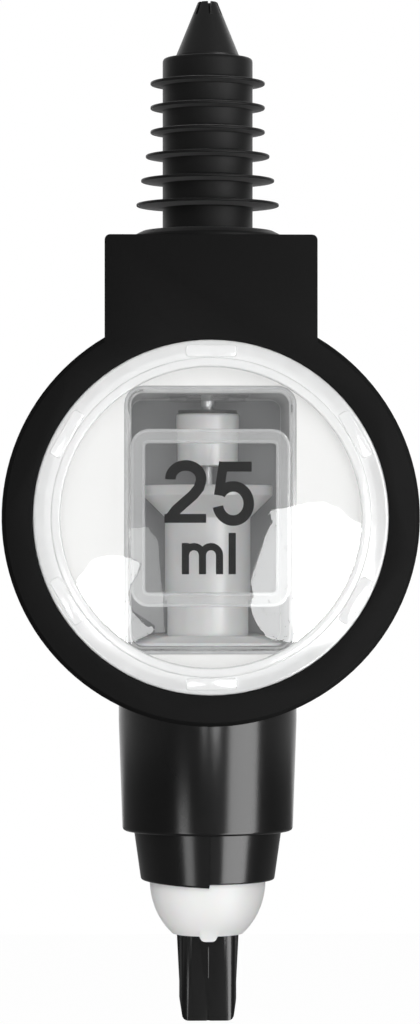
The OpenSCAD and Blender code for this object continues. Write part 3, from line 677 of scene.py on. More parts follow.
def cut(piece: Piece, *tools: Piece) -> None:
    """Cuts closed tools out of a piece and removes them.

    Args:
        piece: The piece.
        *tools: The tools.
    """
    for tool in tools:
        change = piece.modifiers.new("cut", "BOOLEAN")
        change.operation = "DIFFERENCE"
        change.solver = "EXACT"
        change.object = tool
        bake_modifiers(piece)
        bpy.data.objects.remove(tool)


def block_tool(size: Point, centre: Point, turn: Point = (0.0, 0.0, 0.0)) -> Piece:
    """Makes a plain block to cut with.

    Args:
        size: Its three sides.
        centre: Its middle.
        turn: Its turns about X, Y and Z.

    Returns:
        The block.
    """
    mesh = bmesh.new()
    place = Matrix.LocRotScale(Vector(centre) * MM, Euler(turn), Vector(size) * MM)
    bmesh.ops.create_cube(mesh, size=1.0, matrix=place)
    return add_object("tool", mesh)


def repeat_tree() -> Tree:
    """Makes the node tree that sets a part at every point of a mesh, once.

    Returns:
        The tree, with the named inputs Part and Finish.
    """
    tree = bpy.data.node_groups.get("repeat_part")
    if tree:
        return tree
    tree = bpy.data.node_groups.new("repeat_part", "GeometryNodeTree")
    for name, flow, kind in (
        ("Geometry", "INPUT", "NodeSocketGeometry"),
        ("Part", "INPUT", "NodeSocketObject"),
        ("Finish", "INPUT", "NodeSocketMaterial"),
        ("Geometry", "OUTPUT", "NodeSocketGeometry"),
    ):
        tree.interface.new_socket(name=name, in_out=flow, socket_type=kind)
    given = add_node(tree, "NodeGroupInput").outputs
    part = add_node(tree, "GeometryNodeObjectInfo", {"Object": given["Part"]})
    turn = add_node(
        tree,
        "GeometryNodeInputNamedAttribute",
        {"Name": "turn"},
        data_type="FLOAT_VECTOR",
    )
    inputs = {
        "Points": given["Geometry"],
        "Instance": part.outputs["Geometry"],
        "Rotation": turn.outputs["Attribute"],
    }
    shape = add_node(tree, "GeometryNodeInstanceOnPoints", inputs).outputs["Instances"]
    for kind, more in (
        ("GeometryNodeRealizeInstances", {}),
        ("GeometryNodeSetMaterial", {"Material": given["Finish"]}),
        ("NodeGroupOutput", {}),
    ):
        node = add_node(tree, kind, {"Geometry": shape, **more})
        shape = node.outputs[0] if node.outputs else None
    return tree


def repeated(
    name: str, part: Piece, spots: Iterable[tuple[Vector, Point]], finish: Finish
) -> Piece:
    """Repeats a part at every spot, as one piece.

    Args:
        name: The piece's name.
        part: The part about its own origin, which is removed.
        spots: Each place in millimetres and its turns about X, Y and Z.
        finish: The piece's finish.

    Returns:
        The piece.
    """
    mesh = bmesh.new()
    layer = mesh.verts.layers.float_vector.new("turn")
    for place, turn in spots:
        mesh.verts.new(place * MM)[layer] = turn
    piece = add_object(name, mesh)
    piece.visible_shadow = finish.alpha >= 1.0
    change = piece.modifiers.new("repeat", "NODES")
    change.node_group = repeat_tree()
    values = {"Part": part, "Finish": finish.material()}
    for item in change.node_group.interface.items_tree:
        if item.in_out == "INPUT" and item.name in values:
            change[item.identifier] = values[item.name]
    bake_modifiers(piece)
    bpy.data.objects.remove(part)
    return piece


# --- Sub-assemblies -------------------------------------------------------------------


@dataclass(frozen=True)
class Layout:
    """The sizes that more than one sub-assembly is placed from."""

    drum_z: float = -49.0
    drum_rear: float = 20.0
    block_top: float = -2.35
    fascia_back: float = 17.8
    fascia_front: float = 19.0
    lens_face: float = 24.0
    chamber_z: float = -49.4
    chamber_w: float = 28.4
    chamber_h: float = 44.4
    barrel_low: float = -102.3
    collar_low: float = -110.7
    nozzle_low: float = -119.9


@dataclass
class SubAssembly:
    """A group of pieces that is made and dressed together.

    Attributes:
        at: The shared sizes.
        body: The body that its pieces ride on.
        pieces: What it has made.
    """

    at: Layout = field(default_factory=Layout)
    body: Body = Body.CASING
    pieces: list[Piece] = field(default_factory=list)

    def keep(self, piece: Piece, *nodes: str) -> None:
        """Lets a new piece ride on the group's body and stand for CAD nodes.

        Args:
            piece: The new piece.
            *nodes: The CAD nodes that it stands for.
        """
        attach(piece, self.body.value)
        if nodes:
            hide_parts(*nodes)
        self.pieces.append(piece)

    def build(self) -> None:
        """Makes the group's pieces."""
        raise NotImplementedError


@dataclass
class Cork(SubAssembly):
    """The finned rubber cork and its flange."""

    body_r: float = 7.7
    bore_r: float = 4.6
    height: float = 29.6
    flange_r: float = 13.0
    flange_t: float = 2.35
    slope: float = 0.9
    shoulder_r: float = 0.7
    fin_low: float = 4.5
    fin_pitch: float = 4.16
    fin_radii: tuple[float, ...] = (12.2, 11.4, 10.6, 9.8, 9.8, 9.8)
    fin_root: float = 1.1
    fin_tip: float = 0.45

    def build(self) -> None:
        """Turns the cork with soft fins."""
        corners = [
            (self.bore_r, -self.flange_t, 0.1),
            (self.flange_r, -self.flange_t, 0.3),
            (self.flange_r, -self.slope, 0.6),
            (self.flange_r - 2 * self.slope, 0.0, 0.5),
            (self.body_r, 0.0, 0.4),
        ]
        root, tip = self.fin_root / 2, self.fin_tip / 2
        for i, radius in enumerate(self.fin_radii):
            z = self.fin_low + i * self.fin_pitch
            corners += [(self.body_r, z - root, 0.35), (radius, z - tip, 0.2)]
            corners += [(radius, z + tip, 0.2), (self.body_r, z + root, 0.35)]
        corners.append((self.body_r, self.height, self.shoulder_r))
        corners.append((self.bore_r, self.height, 0.1))
        cork = new_piece("finned_cork", lathe(rounded(corners)), SOFT_RUBBER)
        self.keep(cork, "cork")


@dataclass
class Inlet(SubAssembly):
    """The pointed, slotted head and the tube through the cork."""

    tube_r: float = 4.5
    bore_r: float = 3.6
    head_r: float = 5.4
    head_low: float = 29.6
    head_high: float = 39.3
    band_h: float = 0.5
    tip_r: float = 1.65
    hole_r: float = 0.9
    slot_w: float = 0.55
    slot_h: float = 2.3
    slot_turn: float = 10.0
    slot_pairs: int = 3
    hole_below: float = 0.4
    flange_r: float = 8.0
    flange_high: float = -4.85
    flange_t: float = 1.5
    tube_low: float = -27.2

    def build(self) -> None:
        """Turns the tube and saws the strainer slots into its tip."""
        flange_low = self.flange_high - self.flange_t
        band_high = self.head_low + self.band_h
        corners = [
            (self.bore_r, self.tube_low, 0.1),
            (self.tube_r, self.tube_low, 0.2),
            (self.tube_r, flange_low, 0.3),
            (self.flange_r, flange_low, 0.2),
            (self.flange_r, self.flange_high, 0.2),
            (self.tube_r, self.flange_high, 0.1),
            (self.tube_r, self.head_low, 0.1),
            (self.head_r, self.head_low, 0.15),
            (self.head_r, band_high, 0.5),
            (self.tip_r, self.head_high, 0.3),
            (self.hole_r, self.head_high, 0.1),
            (self.hole_r, self.head_high - self.slot_h - self.hole_below, 0.1),
            (self.bore_r, band_high, 0.2),
        ]
        tube = new_piece("inlet_head", lathe(rounded(corners)), GLOSS_ABS_SOFT)
        for k in range(self.slot_pairs):
            turn = math.radians(90 + self.slot_turn + 180 * k / self.slot_pairs)
            saw = (2 * self.head_r, self.slot_w, 2 * self.slot_h)
            cut(tube, block_tool(saw, (0.0, 0.0, self.head_high), (0.0, 0.0, turn)))
        self.keep(tube, "inlet_tube")


@dataclass
class Casing(SubAssembly):
    """The two shells, with the edges of a real moulding."""

    edge: float = 0.35

    def build(self) -> None:
        """Softens both shells, so that a fine line shows where they meet."""
        for side in ("front", "rear"):
            node = f"{side}_casing"
            self.keep(cad_copy(node, f"{side}_shell", MATTE_ABS, self.edge), node)


@dataclass
class Lens(SubAssembly):
    """The round clear lens with its bead and its lugs."""

    lens_t: float = 1.5
    flange_r: float = 31.2
    flange_back: float = 19.8
    flange_front: float = 21.0
    face_r: float = 29.3
    inner_r: float = 27.6
    bead: tuple[float, float] = (24.8, 26.4)
    bead_h: float = 0.6
    bead_slope: float = 0.15
    dome_rise: float = 0.8
    dome_steps: int = 8
    lugs: int = 6
    lug_size: Point = (8.4, 2.0, 0.6)
    lug_corner: float = 0.5
    lug_edge: float = 0.2

    def build(self) -> None:
        """Turns the lens and sets the lugs round its rim."""
        face = self.at.lens_face
        bead_in, bead_out = self.bead
        back, bead_top = face - self.lens_t, face + self.bead_h
        shares = [1 - t / self.dome_steps for t in range(self.dome_steps + 1)]
        dome = [(bead_in * s, face + self.dome_rise * (1 - s**2)) for s in shares]
        disc = [(bead_in, back), *dome, (0.0, back)]
        rim = [
            (bead_in, back, 0.0),
            (self.inner_r, back, 0.5),
            (self.inner_r, self.flange_back, 0.1),
            (self.flange_r, self.flange_back, 0.1),
            (self.flange_r, self.flange_front, 0.1),
            (self.face_r, self.flange_front, 0.2),
            (self.face_r, face, 0.6),
            (bead_out, face, 0.15),
            (bead_out - self.bead_slope, bead_top, 0.3),
            (bead_in + self.bead_slope, bead_top, 0.3),
            (bead_in, face, 0.1),
        ]
        # The rim and its lugs are painted light, in the pale rim finish
        turned = [
            new_piece(name, lathe(profile, Turn.DRUM, self.at.drum_z), finish)
            for name, profile, finish in (
                ("lens_disc", disc, CLEAR_LENS),
                ("lens_rim", rounded(rim), CLEAR_RIM),
            )
        ]
        paint_faces(turned[0], CLEAR_LENS_BACK, lambda side: side.normal.y > FACING)
        lug = soft_block(self.lug_size, self.lug_corner, 0.0, self.lug_edge, steps=4)
        reach = bead_out + self.lug_size[1] / 2
        spots = []
        for k in range(self.lugs):
            a = 2 * math.pi * k / self.lugs
            u, v = reach * math.sin(a), reach * math.cos(a)
            spots.append((Vector((u, -face, self.at.drum_z + v)), (0.0, a, 0.0)))
        one = new_piece("lens_lug", lug, CLEAR_RIM)
        for piece in (*turned, repeated("lens_lugs", one, spots, CLEAR_RIM)):
            self.keep(piece, "lens")


@dataclass(frozen=True)
class Plate:
    """An upright rectangle with round corners, which faces the front."""

    width: float
    height: float
    middle: float
    corner: float
    least_corner: float = 0.4

    def outline(self, inset: float) -> Profile:
        """Draws its outline.

        Args:
            inset: How far the outline is drawn in.

        Returns:
            The outline's points.
        """
        width, height = self.width - 2 * inset, self.height - 2 * inset
        radius = max(self.least_corner, self.corner - inset)
        return rounded_rectangle(width, height, radius, self.middle)


@dataclass
class MeasuringChamber(SubAssembly):
    """The clear chamber and its window with the raised panel."""

    rear: float = 13.0
    wall: float = 1.1
    corner: float = 3.0
    box_edge: float = 0.3
    panel_w: float = 26.5
    panel_z: tuple[float, float] = (-63.8, -34.3)
    panel_rise: float = 1.7
    panel_skin: float = 1.0
    band: float = 2.4
    band_t: float = 0.4
    edge: float = 0.5
    bevel: float = 0.35
    inner_bevel: float = 0.25
    soft: float = 0.1
    rim_t: float = 0.3
    rim_out: float = 0.08
    sheet_back: float = 0.12
    back_zone: float = 0.05
    gap: float = 0.02  # Keeps faces that would share a place apart

    def build(self) -> None:
        """Softens the chamber's CAD form and makes the window from its parts."""
        # The chamber's walls are painted light, in a pale, mostly opaque plastic
        box = cad_copy("chamber", "chamber_box", CLEAR_CHAMBER, self.box_edge)
        # Its back wall takes the greyer copy of the plastic, as painted shade
        inside = (self.rear - self.wall - self.back_zone) * MM
        paint_faces(
            box,
            CLEAR_BACK,
            lambda side: side.center.y > inside and abs(side.normal.y) > FACING,
        )
        self.keep(box, "chamber")
        at, (low, high) = self.at, self.panel_z
        plate = Plate(at.chamber_w, at.chamber_h, at.chamber_z, self.corner)
        panel = Plate(self.panel_w, high - low, (low + high) / 2, self.corner)
        back, front = at.fascia_back, at.fascia_front
        top = front + self.panel_rise
        band, edge, foot = self.band, self.edge, front + self.gap / 2
        inner, skin = band - edge, top - self.panel_skin
        # Each ring's section, as plates, insets and places ahead of the split plane
        rings = (
            ("window_plate", CLEAR_PANEL, (
                (plate, 0.0, back), (plate, 0.0, front),
                (panel, band, front), (panel, band, back),
            )),
            # The panel's edges and band are painted light, in pale, denser copies of
            # the plastic
            ("panel_outer_edge", CLEAR_EDGE, (
                (panel, 0.0, foot), (panel, 0.0, top - self.bevel),
                (panel, self.soft, top - self.soft), (panel, self.bevel, top),
                (panel, edge, top), (panel, edge, foot),
            )),
            ("panel_band", CLEAR_BAND, (
                (panel, edge, top - self.band_t), (panel, edge, top),
                (panel, inner, top), (panel, inner, top - self.band_t),
            )),
            ("panel_inner_edge", CLEAR_EDGE, (
                (panel, inner, skin), (panel, inner, top),
                (panel, band - self.inner_bevel, top),
                (panel, band, top - self.inner_bevel), (panel, band, skin),
            )),
            # A band of painted light round the window, which also covers the dark gap
            # at its edge
            ("window_rim", CLEAR_EDGE, (
                (plate, -self.rim_out, front - self.rim_t),
                (plate, -self.rim_out, front),
                (plate, edge, front + self.gap), (plate, edge, front - self.rim_t),
            )),
        )
        for name, finish, section in rings:
            levels = [(form.outline(inset), ahead) for form, inset, ahead in section]
            ring = new_piece(name, tower(levels, towards_front, closed=True), finish)
            self.keep(ring, "chamber_window")
        thin = panel.outline(band + self.gap)
        sheet = tower([(thin, skin), (thin, top - self.sheet_back)], towards_front)
        self.keep(new_piece("panel_face", sheet, CLEAR_PANEL), "chamber_window")


@dataclass
class InletValve(SubAssembly):
    """The stepped cup that rides up to the inlet's seat."""

    body: Body = Body.INLET_VALVE
    bore_r: float = 1.1
    head_r: float = 5.35
    skirt_r: float = 5.15
    skirt_wall: float = 0.8
    top: float = -31.2
    low: float = -34.1
    skirt_low: float = -40.1

    def build(self) -> None:
        """Turns the cup."""
        inner = self.skirt_r - self.skirt_wall
        cup = [
            (self.bore_r, self.low, 0.1),
            (inner, self.low, 0.4),
            (inner, self.skirt_low, 0.15),
            (self.skirt_r, self.skirt_low, 0.15),
            (self.skirt_r, self.low, 0.1),
            (self.head_r, self.low, 0.25),
            (self.head_r, self.top, 0.5),
            (self.bore_r, self.top, 0.1),
        ]
        self.keep(new_piece("valve_cup", lathe(rounded(cup)), MILKY_PP), "inlet_valve")


@dataclass
class Outlet(SubAssembly):
    """The funnel, the cylinder below it and the base plate."""

    bore_r: float = 6.2
    outer_r: float = 7.3
    funnel_r: float = 11.1
    wall: float = 1.1
    low: float = -80.5
    funnel_low: float = -48.9
    funnel_h: float = 3.8
    lip_high: float = -43.4
    base_w: float = 25.0
    base_d: float = 22.4
    base_low: float = -70.5
    base_t: float = 1.5
    base_edge: float = 0.4
    base_slope: float = 3.6
    corner: float = 1.9
    seat: float = 0.3
    beyond: float = 1.0
    port_w: float = 5.0
    port_h: float = 6.0

    def build(self) -> None:
        """Turns the cylinder, saws its ports and lays the base plate round it."""
        slope_high, inner = self.funnel_low + self.funnel_h, self.funnel_r - self.wall
        corners = [
            (self.bore_r, self.low, 0.2),
            (self.outer_r, self.low, 0.2),
            (self.outer_r, self.funnel_low, 0.5),
            (self.funnel_r, slope_high, 0.5),
            (self.funnel_r, self.lip_high, 0.35),
            (inner, self.lip_high, 0.35),
            (inner, slope_high, 0.5),
            (self.bore_r, self.funnel_low, 0.5),
        ]
        cylinder = new_piece("outlet_cylinder", lathe(rounded(corners)), MILKY_PP)
        base_top = self.base_low + self.base_t
        port = (2 * self.funnel_r, self.port_w, self.port_h)
        cut(cylinder, block_tool(port, (0.0, 0.0, base_top + self.port_h / 2)))
        self.keep(cylinder, "outlet_body")
        levels = []
        for inset, height in (
            (0.0, self.base_low),
            (0.0, self.base_low + self.base_edge),
            (1.0, base_top),
        ):
            width = self.base_w - 2 * self.base_slope * inset
            depth = self.base_d - 2 * inset
            levels.append((rounded_rectangle(width, depth, self.corner), height))
        plate = new_piece("outlet_base", tower(levels, upwards), MILKY_PP)
        radius = self.outer_r - self.seat
        low, high = self.base_low - self.beyond, base_top + self.beyond
        hole = lathe([(0.0, low), (radius, low), (radius, high), (0.0, high)])
        cut(plate, new_piece("hole", hole, MILKY_PP))
        self.keep(plate, "outlet_body")


@dataclass
class BarrelUnit(SubAssembly):
    """The glossy barrel, the stepped collar and the white nozzle."""

    barrel_top_r: float = 15.2
    barrel_end_r: float = 14.55
    barrel_bore_r: float = 13.2
    upper_bore_r: float = 12.2
    drum_low: float = -83.5
    ledge: float = -84.5
    lip_r: float = 17.0
    lip_low: float = -75.8
    lip_t: float = 1.5
    collar_r: float = 12.6
    collar_end_r: float = 11.4
    collar_bore_r: float = 10.05
    spigot_h: float = 4.0
    play: float = 0.1
    step: float = 0.6
    step_zone: float = 1.0
    seam_w: float = 0.3
    seam_d: float = 0.35
    nozzle_r: float = 9.9
    nozzle_bore_r: float = 8.4
    nozzle_flange_r: float = 11.1
    nozzle_flange_low: float = -104.0
    nozzle_flange_t: float = 1.5
    dome_h: float = 11.6
    dome_steps: int = 14
    nozzle_h: float = 9.2
    inner_ledge: float = -112.6
    mouth_r: float = 5.57
    mouth_edge: float = 0.15
    tab_w: float = 2.9
    tab_h: float = 0.9
    tab_zone: float = 0.6

    def build(self) -> None:
        """Turns the barrel and makes the collar and the nozzle."""
        low, lip_top = self.at.barrel_low, self.lip_low + self.lip_t
        corners = [
            (self.upper_bore_r, lip_top, 0.2),
            (self.upper_bore_r, self.ledge, 0.1),
            (self.barrel_bore_r, self.ledge, 0.1),
            (self.barrel_bore_r, low, 0.15),
            (self.barrel_end_r, low, 1.1),
            (self.barrel_top_r, self.drum_low, 0.0),
            (self.barrel_top_r, self.lip_low, 0.1),
            (self.lip_r, self.lip_low, 0.1),
            (self.lip_r, lip_top, 0.2),
        ]
        barrel = new_piece("glossy_barrel", lathe(rounded(corners)), GLOSS_ABS)
        self.keep(barrel, "barrel")
        self.keep(self._collar(), "collar")
        self.keep(self._nozzle(), "nozzle")

    def _collar(self) -> Piece:
        """Turns the collar, hangs the step on its left half and cuts the seam.

        Returns:
            The collar.
        """
        low, high = self.at.collar_low, self.at.barrel_low
        counter_r = self.nozzle_flange_r + self.play
        spigot_r, spigot_top = self.barrel_bore_r - self.play, high + self.spigot_h
        corners = [
            (self.collar_bore_r, low, 0.1),
            (self.collar_end_r, low, 0.45),
            (self.collar_r, high, 0.1),
            (spigot_r, high, 0.0),
            (spigot_r, spigot_top, 0.2),
            (counter_r, spigot_top, 0.1),
            (counter_r, self.nozzle_flange_low, 0.1),
            (self.collar_bore_r, self.nozzle_flange_low, 0.1),
        ]
        mesh = lathe(rounded(corners))
        # The lower edge drops from nothing at the left to the full step at the seam,
        # and the first column past the seam closes up to it
        for vert in mesh.verts:
            if ON_MIDDLE < vert.co.x < self.step_zone:
                vert.co.x = self.seam_w / 3
            if vert.co.x < ON_MIDDLE and vert.co.z < low + self.step_zone:
                share = 1.0 + vert.co.x / self.collar_end_r
                vert.co.z -= self.step * max(0.0, min(1.0, share))
        collar = new_piece("seamed_collar", mesh, GLOSS_ABS)
        run, radii = high - low, (self.collar_r, self.collar_end_r)
        lean = math.atan2(radii[0] - radii[1], run)
        seam = (self.seam_w, 2 * self.seam_d, 2 * run)
        middle = (0.0, -sum(radii) / 2, high - run / 2)
        cut(collar, block_tool(seam, middle, (lean, 0.0, 0.0)))
        return collar

    def _nozzle(self) -> Piece:
        """Turns the domed nozzle and draws its lip down into the drip tab.

        Returns:
            The nozzle.
        """
        at, flange_low = self.at, self.nozzle_flange_low
        flange_top = flange_low + self.nozzle_flange_t
        profile = [
            (self.mouth_r, self.inner_ledge),
            (self.mouth_r, at.nozzle_low + self.mouth_edge),
            (self.mouth_r + self.mouth_edge, at.nozzle_low),
        ]
        for k in range(self.dome_steps + 1):
            drop = self.nozzle_h * (1 - k / self.dome_steps)
            radius = self.nozzle_r * math.sqrt(1 - (drop / self.dome_h) ** 2)
            profile.append((radius, at.collar_low - drop))
        profile += [(self.nozzle_r, flange_low), (self.nozzle_flange_r, flange_low)]
        profile.append((self.nozzle_flange_r, flange_top))
        profile += [(self.nozzle_bore_r, z) for z in (flange_top, self.inner_ledge)]
        mesh = lathe(profile, around=FINE_AROUND)
        half = self.tab_w / 2
        for vert in mesh.verts:
            near = vert.co.y < 0 and abs(vert.co.x) < half
            if near and vert.co.z < at.nozzle_low + self.tab_zone:
                vert.co.z -= self.tab_h * math.sqrt(1 - (vert.co.x / half) ** 4)
        return new_piece("domed_nozzle", mesh, WHITE_ACETAL)


@dataclass
class Plunger(SubAssembly):
    """The push-up plunger with its side vanes."""

    body: Body = Body.PLUNGER
    edge: float = 0.3
    rib: Point = (0.3, 5.4, 0.3)
    rib_z: float = -124.6
    rib_back: float = 3.04
    rib_edge: float = 0.13
    rib_corner: float = 0.01

    def build(self) -> None:
        """Softens the plunger's CAD form and lays the fine rib on its front."""
        self.keep(cad_copy("plunger", "push_plunger", GLOSS_ABS, self.edge), "plunger")
        rib = soft_block(
            self.rib, self.rib_corner, self.rib_back, self.rib_edge, self.rib_z
        )
        self.keep(new_piece("plunger_rib", rib, GLOSS_ABS))


@dataclass
class ReturnSpring(SubAssembly):
    """The steel spring with closed end turns."""

    low: float = -110.8
    high: float = -86.0
    coil_r: float = 6.4
    wire_d: float = 1.0
    turns: int = 8
    end_turns: float = 0.9
    end_pitch: float = 1.02
    travel: float = 10.0
    per_turn: int = 28
    sides: int = 12

    def build(self) -> None:
        """Winds the wire and gives the spring a mesh of its own."""
        wire_r = self.wire_d / 2
        angles = [2 * math.pi * s / self.sides for s in range(self.sides)]
        flat = [(wire_r * math.cos(a), wire_r * math.sin(a)) for a in angles]
        wire = [(self.coil_r + out, up) for out, up in flat]
        count = self.turns * self.per_turn
        levels = [(wire, k / self.per_turn) for k in range(count + 1)]
        spring = new_piece("wound_spring", tower(levels, self._place), STAINLESS)
        self.keep(spring, "return_spring")
        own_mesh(spring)

    def _place(self, radius: float, up: float, turn: float) -> Point:
        """Places a point of the wire's section, with an even pitch between flat ends.

        Args:
            radius: Its distance from the spring's axis.
            up: Its height above the wire's middle.
            turn: The number of turns from the lower end.

        Returns:
            The point.
        """
        bottom, top = self.low + self.wire_d / 2, self.high - self.wire_d / 2
        flat, ends = self.wire_d * self.end_pitch, self.end_turns
        if turn < ends:
            z = bottom + flat * turn
        elif turn > self.turns - ends:
            z = top - flat * (self.turns - turn)
        else:
            share = (turn - ends) / (self.turns - 2 * ends)
            z = bottom + flat * ends + share * (top - bottom - 2 * flat * ends)
        angle = 2 * math.pi * turn
        return radius * math.cos(angle), radius * math.sin(angle), z + up


@dataclass
class Screws(SubAssembly):
    """Cross-head screws of one kind, repeated at their bosses."""

    name: str = "shell_screws"
    node: str = "casing_screws"
    length: float = 25.0
    spots: tuple[Point, ...] = ()
    shank_r: float = 1.35
    thread_r: float = 1.15
    tip_r: float = 0.4
    plain: float = 1.0
    pitch: float = 1.0
    head_r: float = 2.5
    head_h: float = 1.8
    cross: Point = (2.8, 0.6, 0.9)
    around: int = 28
    first_turn: float = 25.0
    next_turn: float = 40.0

    def build(self) -> None:
        """Makes one screw and repeats it."""
        corners = [
            (0.0, -self.head_h, 0.0),
            (self.head_r, -self.head_h, 0.5),
            (self.head_r, 0.0, 0.1),
            (self.shank_r, 0.0, 0.1),
        ]
        for k in range(int((self.length - 2 * self.plain) / self.pitch)):
            start = self.plain + k * self.pitch
            corners.append((self.shank_r, start, 0.0))
            corners.append((self.thread_r, start + self.pitch / 2, 0.0))
        corners.append((self.shank_r, self.length - self.plain, 0.3))
        corners += [(self.tip_r, self.length, 0.1), (0.0, self.length, 0.0)]
        shape = lathe(rounded(corners), Turn.DRUM, around=self.around)
        screw = new_piece("screw", shape, STAINLESS)
        span, width, depth = self.cross
        for turn in (0.0, math.pi / 2):
            saw = (span, 2 * depth, width)
            cut(screw, block_tool(saw, (0.0, self.head_h, 0.0), (0.0, turn, 0.0)))
        turns = (self.first_turn + self.next_turn * i for i in range(len(self.spots)))
        spots = [
            (Vector(place), (0.0, math.radians(turn), 0.0))
            for place, turn in zip(self.spots, turns)
        ]
        self.keep(repeated(self.name, screw, spots, STAINLESS), self.node)


@dataclass
class BracketBoss(SubAssembly):
    """The boss behind the casing that hangs on the wall bracket's tongue."""

    edge: float = 0.5

    def build(self) -> None:
        """Softens the boss's CAD form."""
        node = "bracket_boss"
        self.keep(cad_copy(node, "bracket_socket", MATTE_ABS, self.edge), node)


@dataclass
class Marking(SubAssembly):
    """The printed measure on the chamber's panel: the number and its unit."""

    front: float = 20.7
    ink_t: float = 0.05
    ink_lift: float = 0.002
    ink_root: float = 0.1
    mitre: float = 0.4
    digit_low: float = -49.87
    digit_high: float = -39.74
    digit_stroke: float = 1.75
    foot_w: float = 1.47
    stem_w: float = 1.55
    bar_w: float = 1.66
    letter_low: float = -58.38
    letter_stroke: float = 1.2
    x_height: float = 5.18
    m_sides: tuple[float, float] = (-4.79, 2.05)
    l_x: float = 3.55
    l_height: float = 6.86

    def build(self) -> None:
        """Draws each glyph as inked strokes, each a little ahead of the one before."""
        mesh = bmesh.new()
        for i, (line, width) in enumerate(self._digits() + self._letters()):
            ahead = self.front + self.ink_t + self.ink_lift * i
            self._ribbon(mesh, line, width, ahead)
        self.keep(new_piece("measure_marking", mesh, PAD_INK))

    @staticmethod
    def _arc(
        middle: Sequence[float], radii: Sequence[float], *angles: float
    ) -> Profile:
        """Draws a part of an upright ellipse.

        Args:
            middle: The ellipse's middle.
            radii: Its two radii.
            *angles: The angles in degrees.

        Returns:
            A point for each angle.
        """
        turns = [math.radians(a) for a in angles]
        (u, v), (wide, high) = middle, radii
        return [(u + wide * math.cos(a), v + high * math.sin(a)) for a in turns]

    def _digits(self) -> list[Stroke]:
        """Draws 2 and 5.

        Returns:
            The strokes' middle lines and widths.
        """
        low, high, w = self.digit_low, self.digit_high, self.digit_stroke
        hook = [183.0 - 195.0 * k / 24 for k in range(25)]
        two = self._arc((-4.13, low + 7.3), (2.54, 2.2), *hook)
        two += [(-1.95, low + 5.8), (-2.9, low + 4.6), (-4.4, low + 3.3)]
        two += [(-5.75, low + 2.1), (-6.5, low + 1.05), (-6.72, low + 0.4)]
        foot = [(-7.66, low + self.foot_w / 2), (-0.76, low + self.foot_w / 2)]
        bar = [(1.35, high - self.bar_w / 2), (6.77, high - self.bar_w / 2)]
        stem = [(2.15, high - 0.05), (1.3, low + 4.55)]
        turn = [148.0 - 318.0 * k / 36 for k in range(37)]
        bowl = self._arc((3.72, low + 3.2), (2.57, 2.83), *turn)
        thin = [(stem, self.stem_w), (bar, self.bar_w)]
        return [(two, w), (foot, self.foot_w), (bowl, w), *thin]

    def _letters(self) -> list[Stroke]:
        """Draws m and l.

        Returns:
            The strokes' middle lines and widths.
        """
        low, w, (left, right) = self.letter_low, self.letter_stroke, self.m_sides
        start, high = left + w / 2, low + self.x_height
        strokes = [[(start, low), (start, high)]]
        span = (right - left - w) / 2
        r = span / 2
        for x in (start, start + span):
            angles = [180.0 - 18.0 * k for k in range(11)]
            arch = self._arc((x + r, high - w / 2 - r), (r, r), *angles)
            strokes.append([*arch, (x + span, low)])
        strokes.append([(self.l_x, low), (self.l_x, low + self.l_height)])
        return [(line, w) for line in strokes]

    def _ribbon(self, mesh: Mesh, line: Profile, width: float, ahead: float) -> None:
        """Adds a stroke of even width along a line.

        Args:
            mesh: The mesh that the stroke is added to.
            line: The stroke's middle line, in X and Z.
            width: Its width.
            ahead: The place of its face ahead of the split plane.
        """
        points = [Vector(p) for p in line]
        sides: tuple[list[Vector], list[Vector]] = ([], [])
        for i, here in enumerate(points):
            near = points[max(0, i - 1) : i + 2]
            ways = [(b - a).normalized() for a, b in zip(near, near[1:])]
            along = sum(ways, Vector((0.0, 0.0))).normalized()
            reach = width / 2 / max(self.mitre, along.dot(ways[0]))
            across = Vector((-along.y, along.x)) * reach
            sides[0].append(here + across)
            sides[1].append(here - across)
        left, right = sides
        quads = [
            [(p, ahead) for p in (*left[i : i + 2], right[i + 1], right[i])]
            for i in range(len(points) - 1)
        ]
        outline, back = left + right[::-1], self.front - self.ink_root
        for a, b in zip(outline, outline[1:] + outline[:1]):
            quads.append([(a, ahead), (b, ahead), (b, back), (a, back)])
        for quad in quads:
            mesh.faces.new([mesh.verts.new((p.x, -y, p.y)) for p, y in quad])


# --- Studio ---------------------------------------------------------------------------


@dataclass(frozen=True)
class Lamp:
    """A rectangular studio light that looks at the part.

    Attributes:
        name: Its name.
        bearing: Degrees round from the front, to the right.
        height: Degrees above the level of the part's middle.
        distance: Metres from the part's middle.
        size: Its width and height in metres.
        radiance: How bright its face looks.
        in_gloss: Whether it shows in glossy surfaces.
        in_diffuse: Whether it lights matte surfaces.
    """

    name: str
    bearing: float
    height: float
    distance: float
    size: tuple[float, float]
    radiance: float
    in_gloss: bool = True
    in_diffuse: bool = True

    def light(self, target: Vector) -> None:
        """Puts the lamp in the scene.

        Args:
            target: What it looks at.
        """
        data = bpy.data.lights.new(self.name, "AREA")
        data.shape = "RECTANGLE"
        data.size, data.size_y = self.size
        # A face of radiance L and area A gives off pi * L * A watts
        data.energy = math.pi * self.radiance * data.size * data.size_y
        lamp = bpy.data.objects.new(self.name, data)
        around, up = math.radians(self.bearing), math.radians(self.height)
        x, y = math.sin(around) * math.cos(up), -math.cos(around) * math.cos(up)
        way = Vector((x, y, math.sin(up)))
        lamp.location = target + way * self.distance
        lamp.rotation_euler = way.to_track_quat("Z", "Y").to_euler()
        lamp.visible_glossy = self.in_gloss
        lamp.visible_diffuse = self.in_diffuse
        lamp.visible_camera = False
        bpy.context.scene.collection.objects.link(lamp)


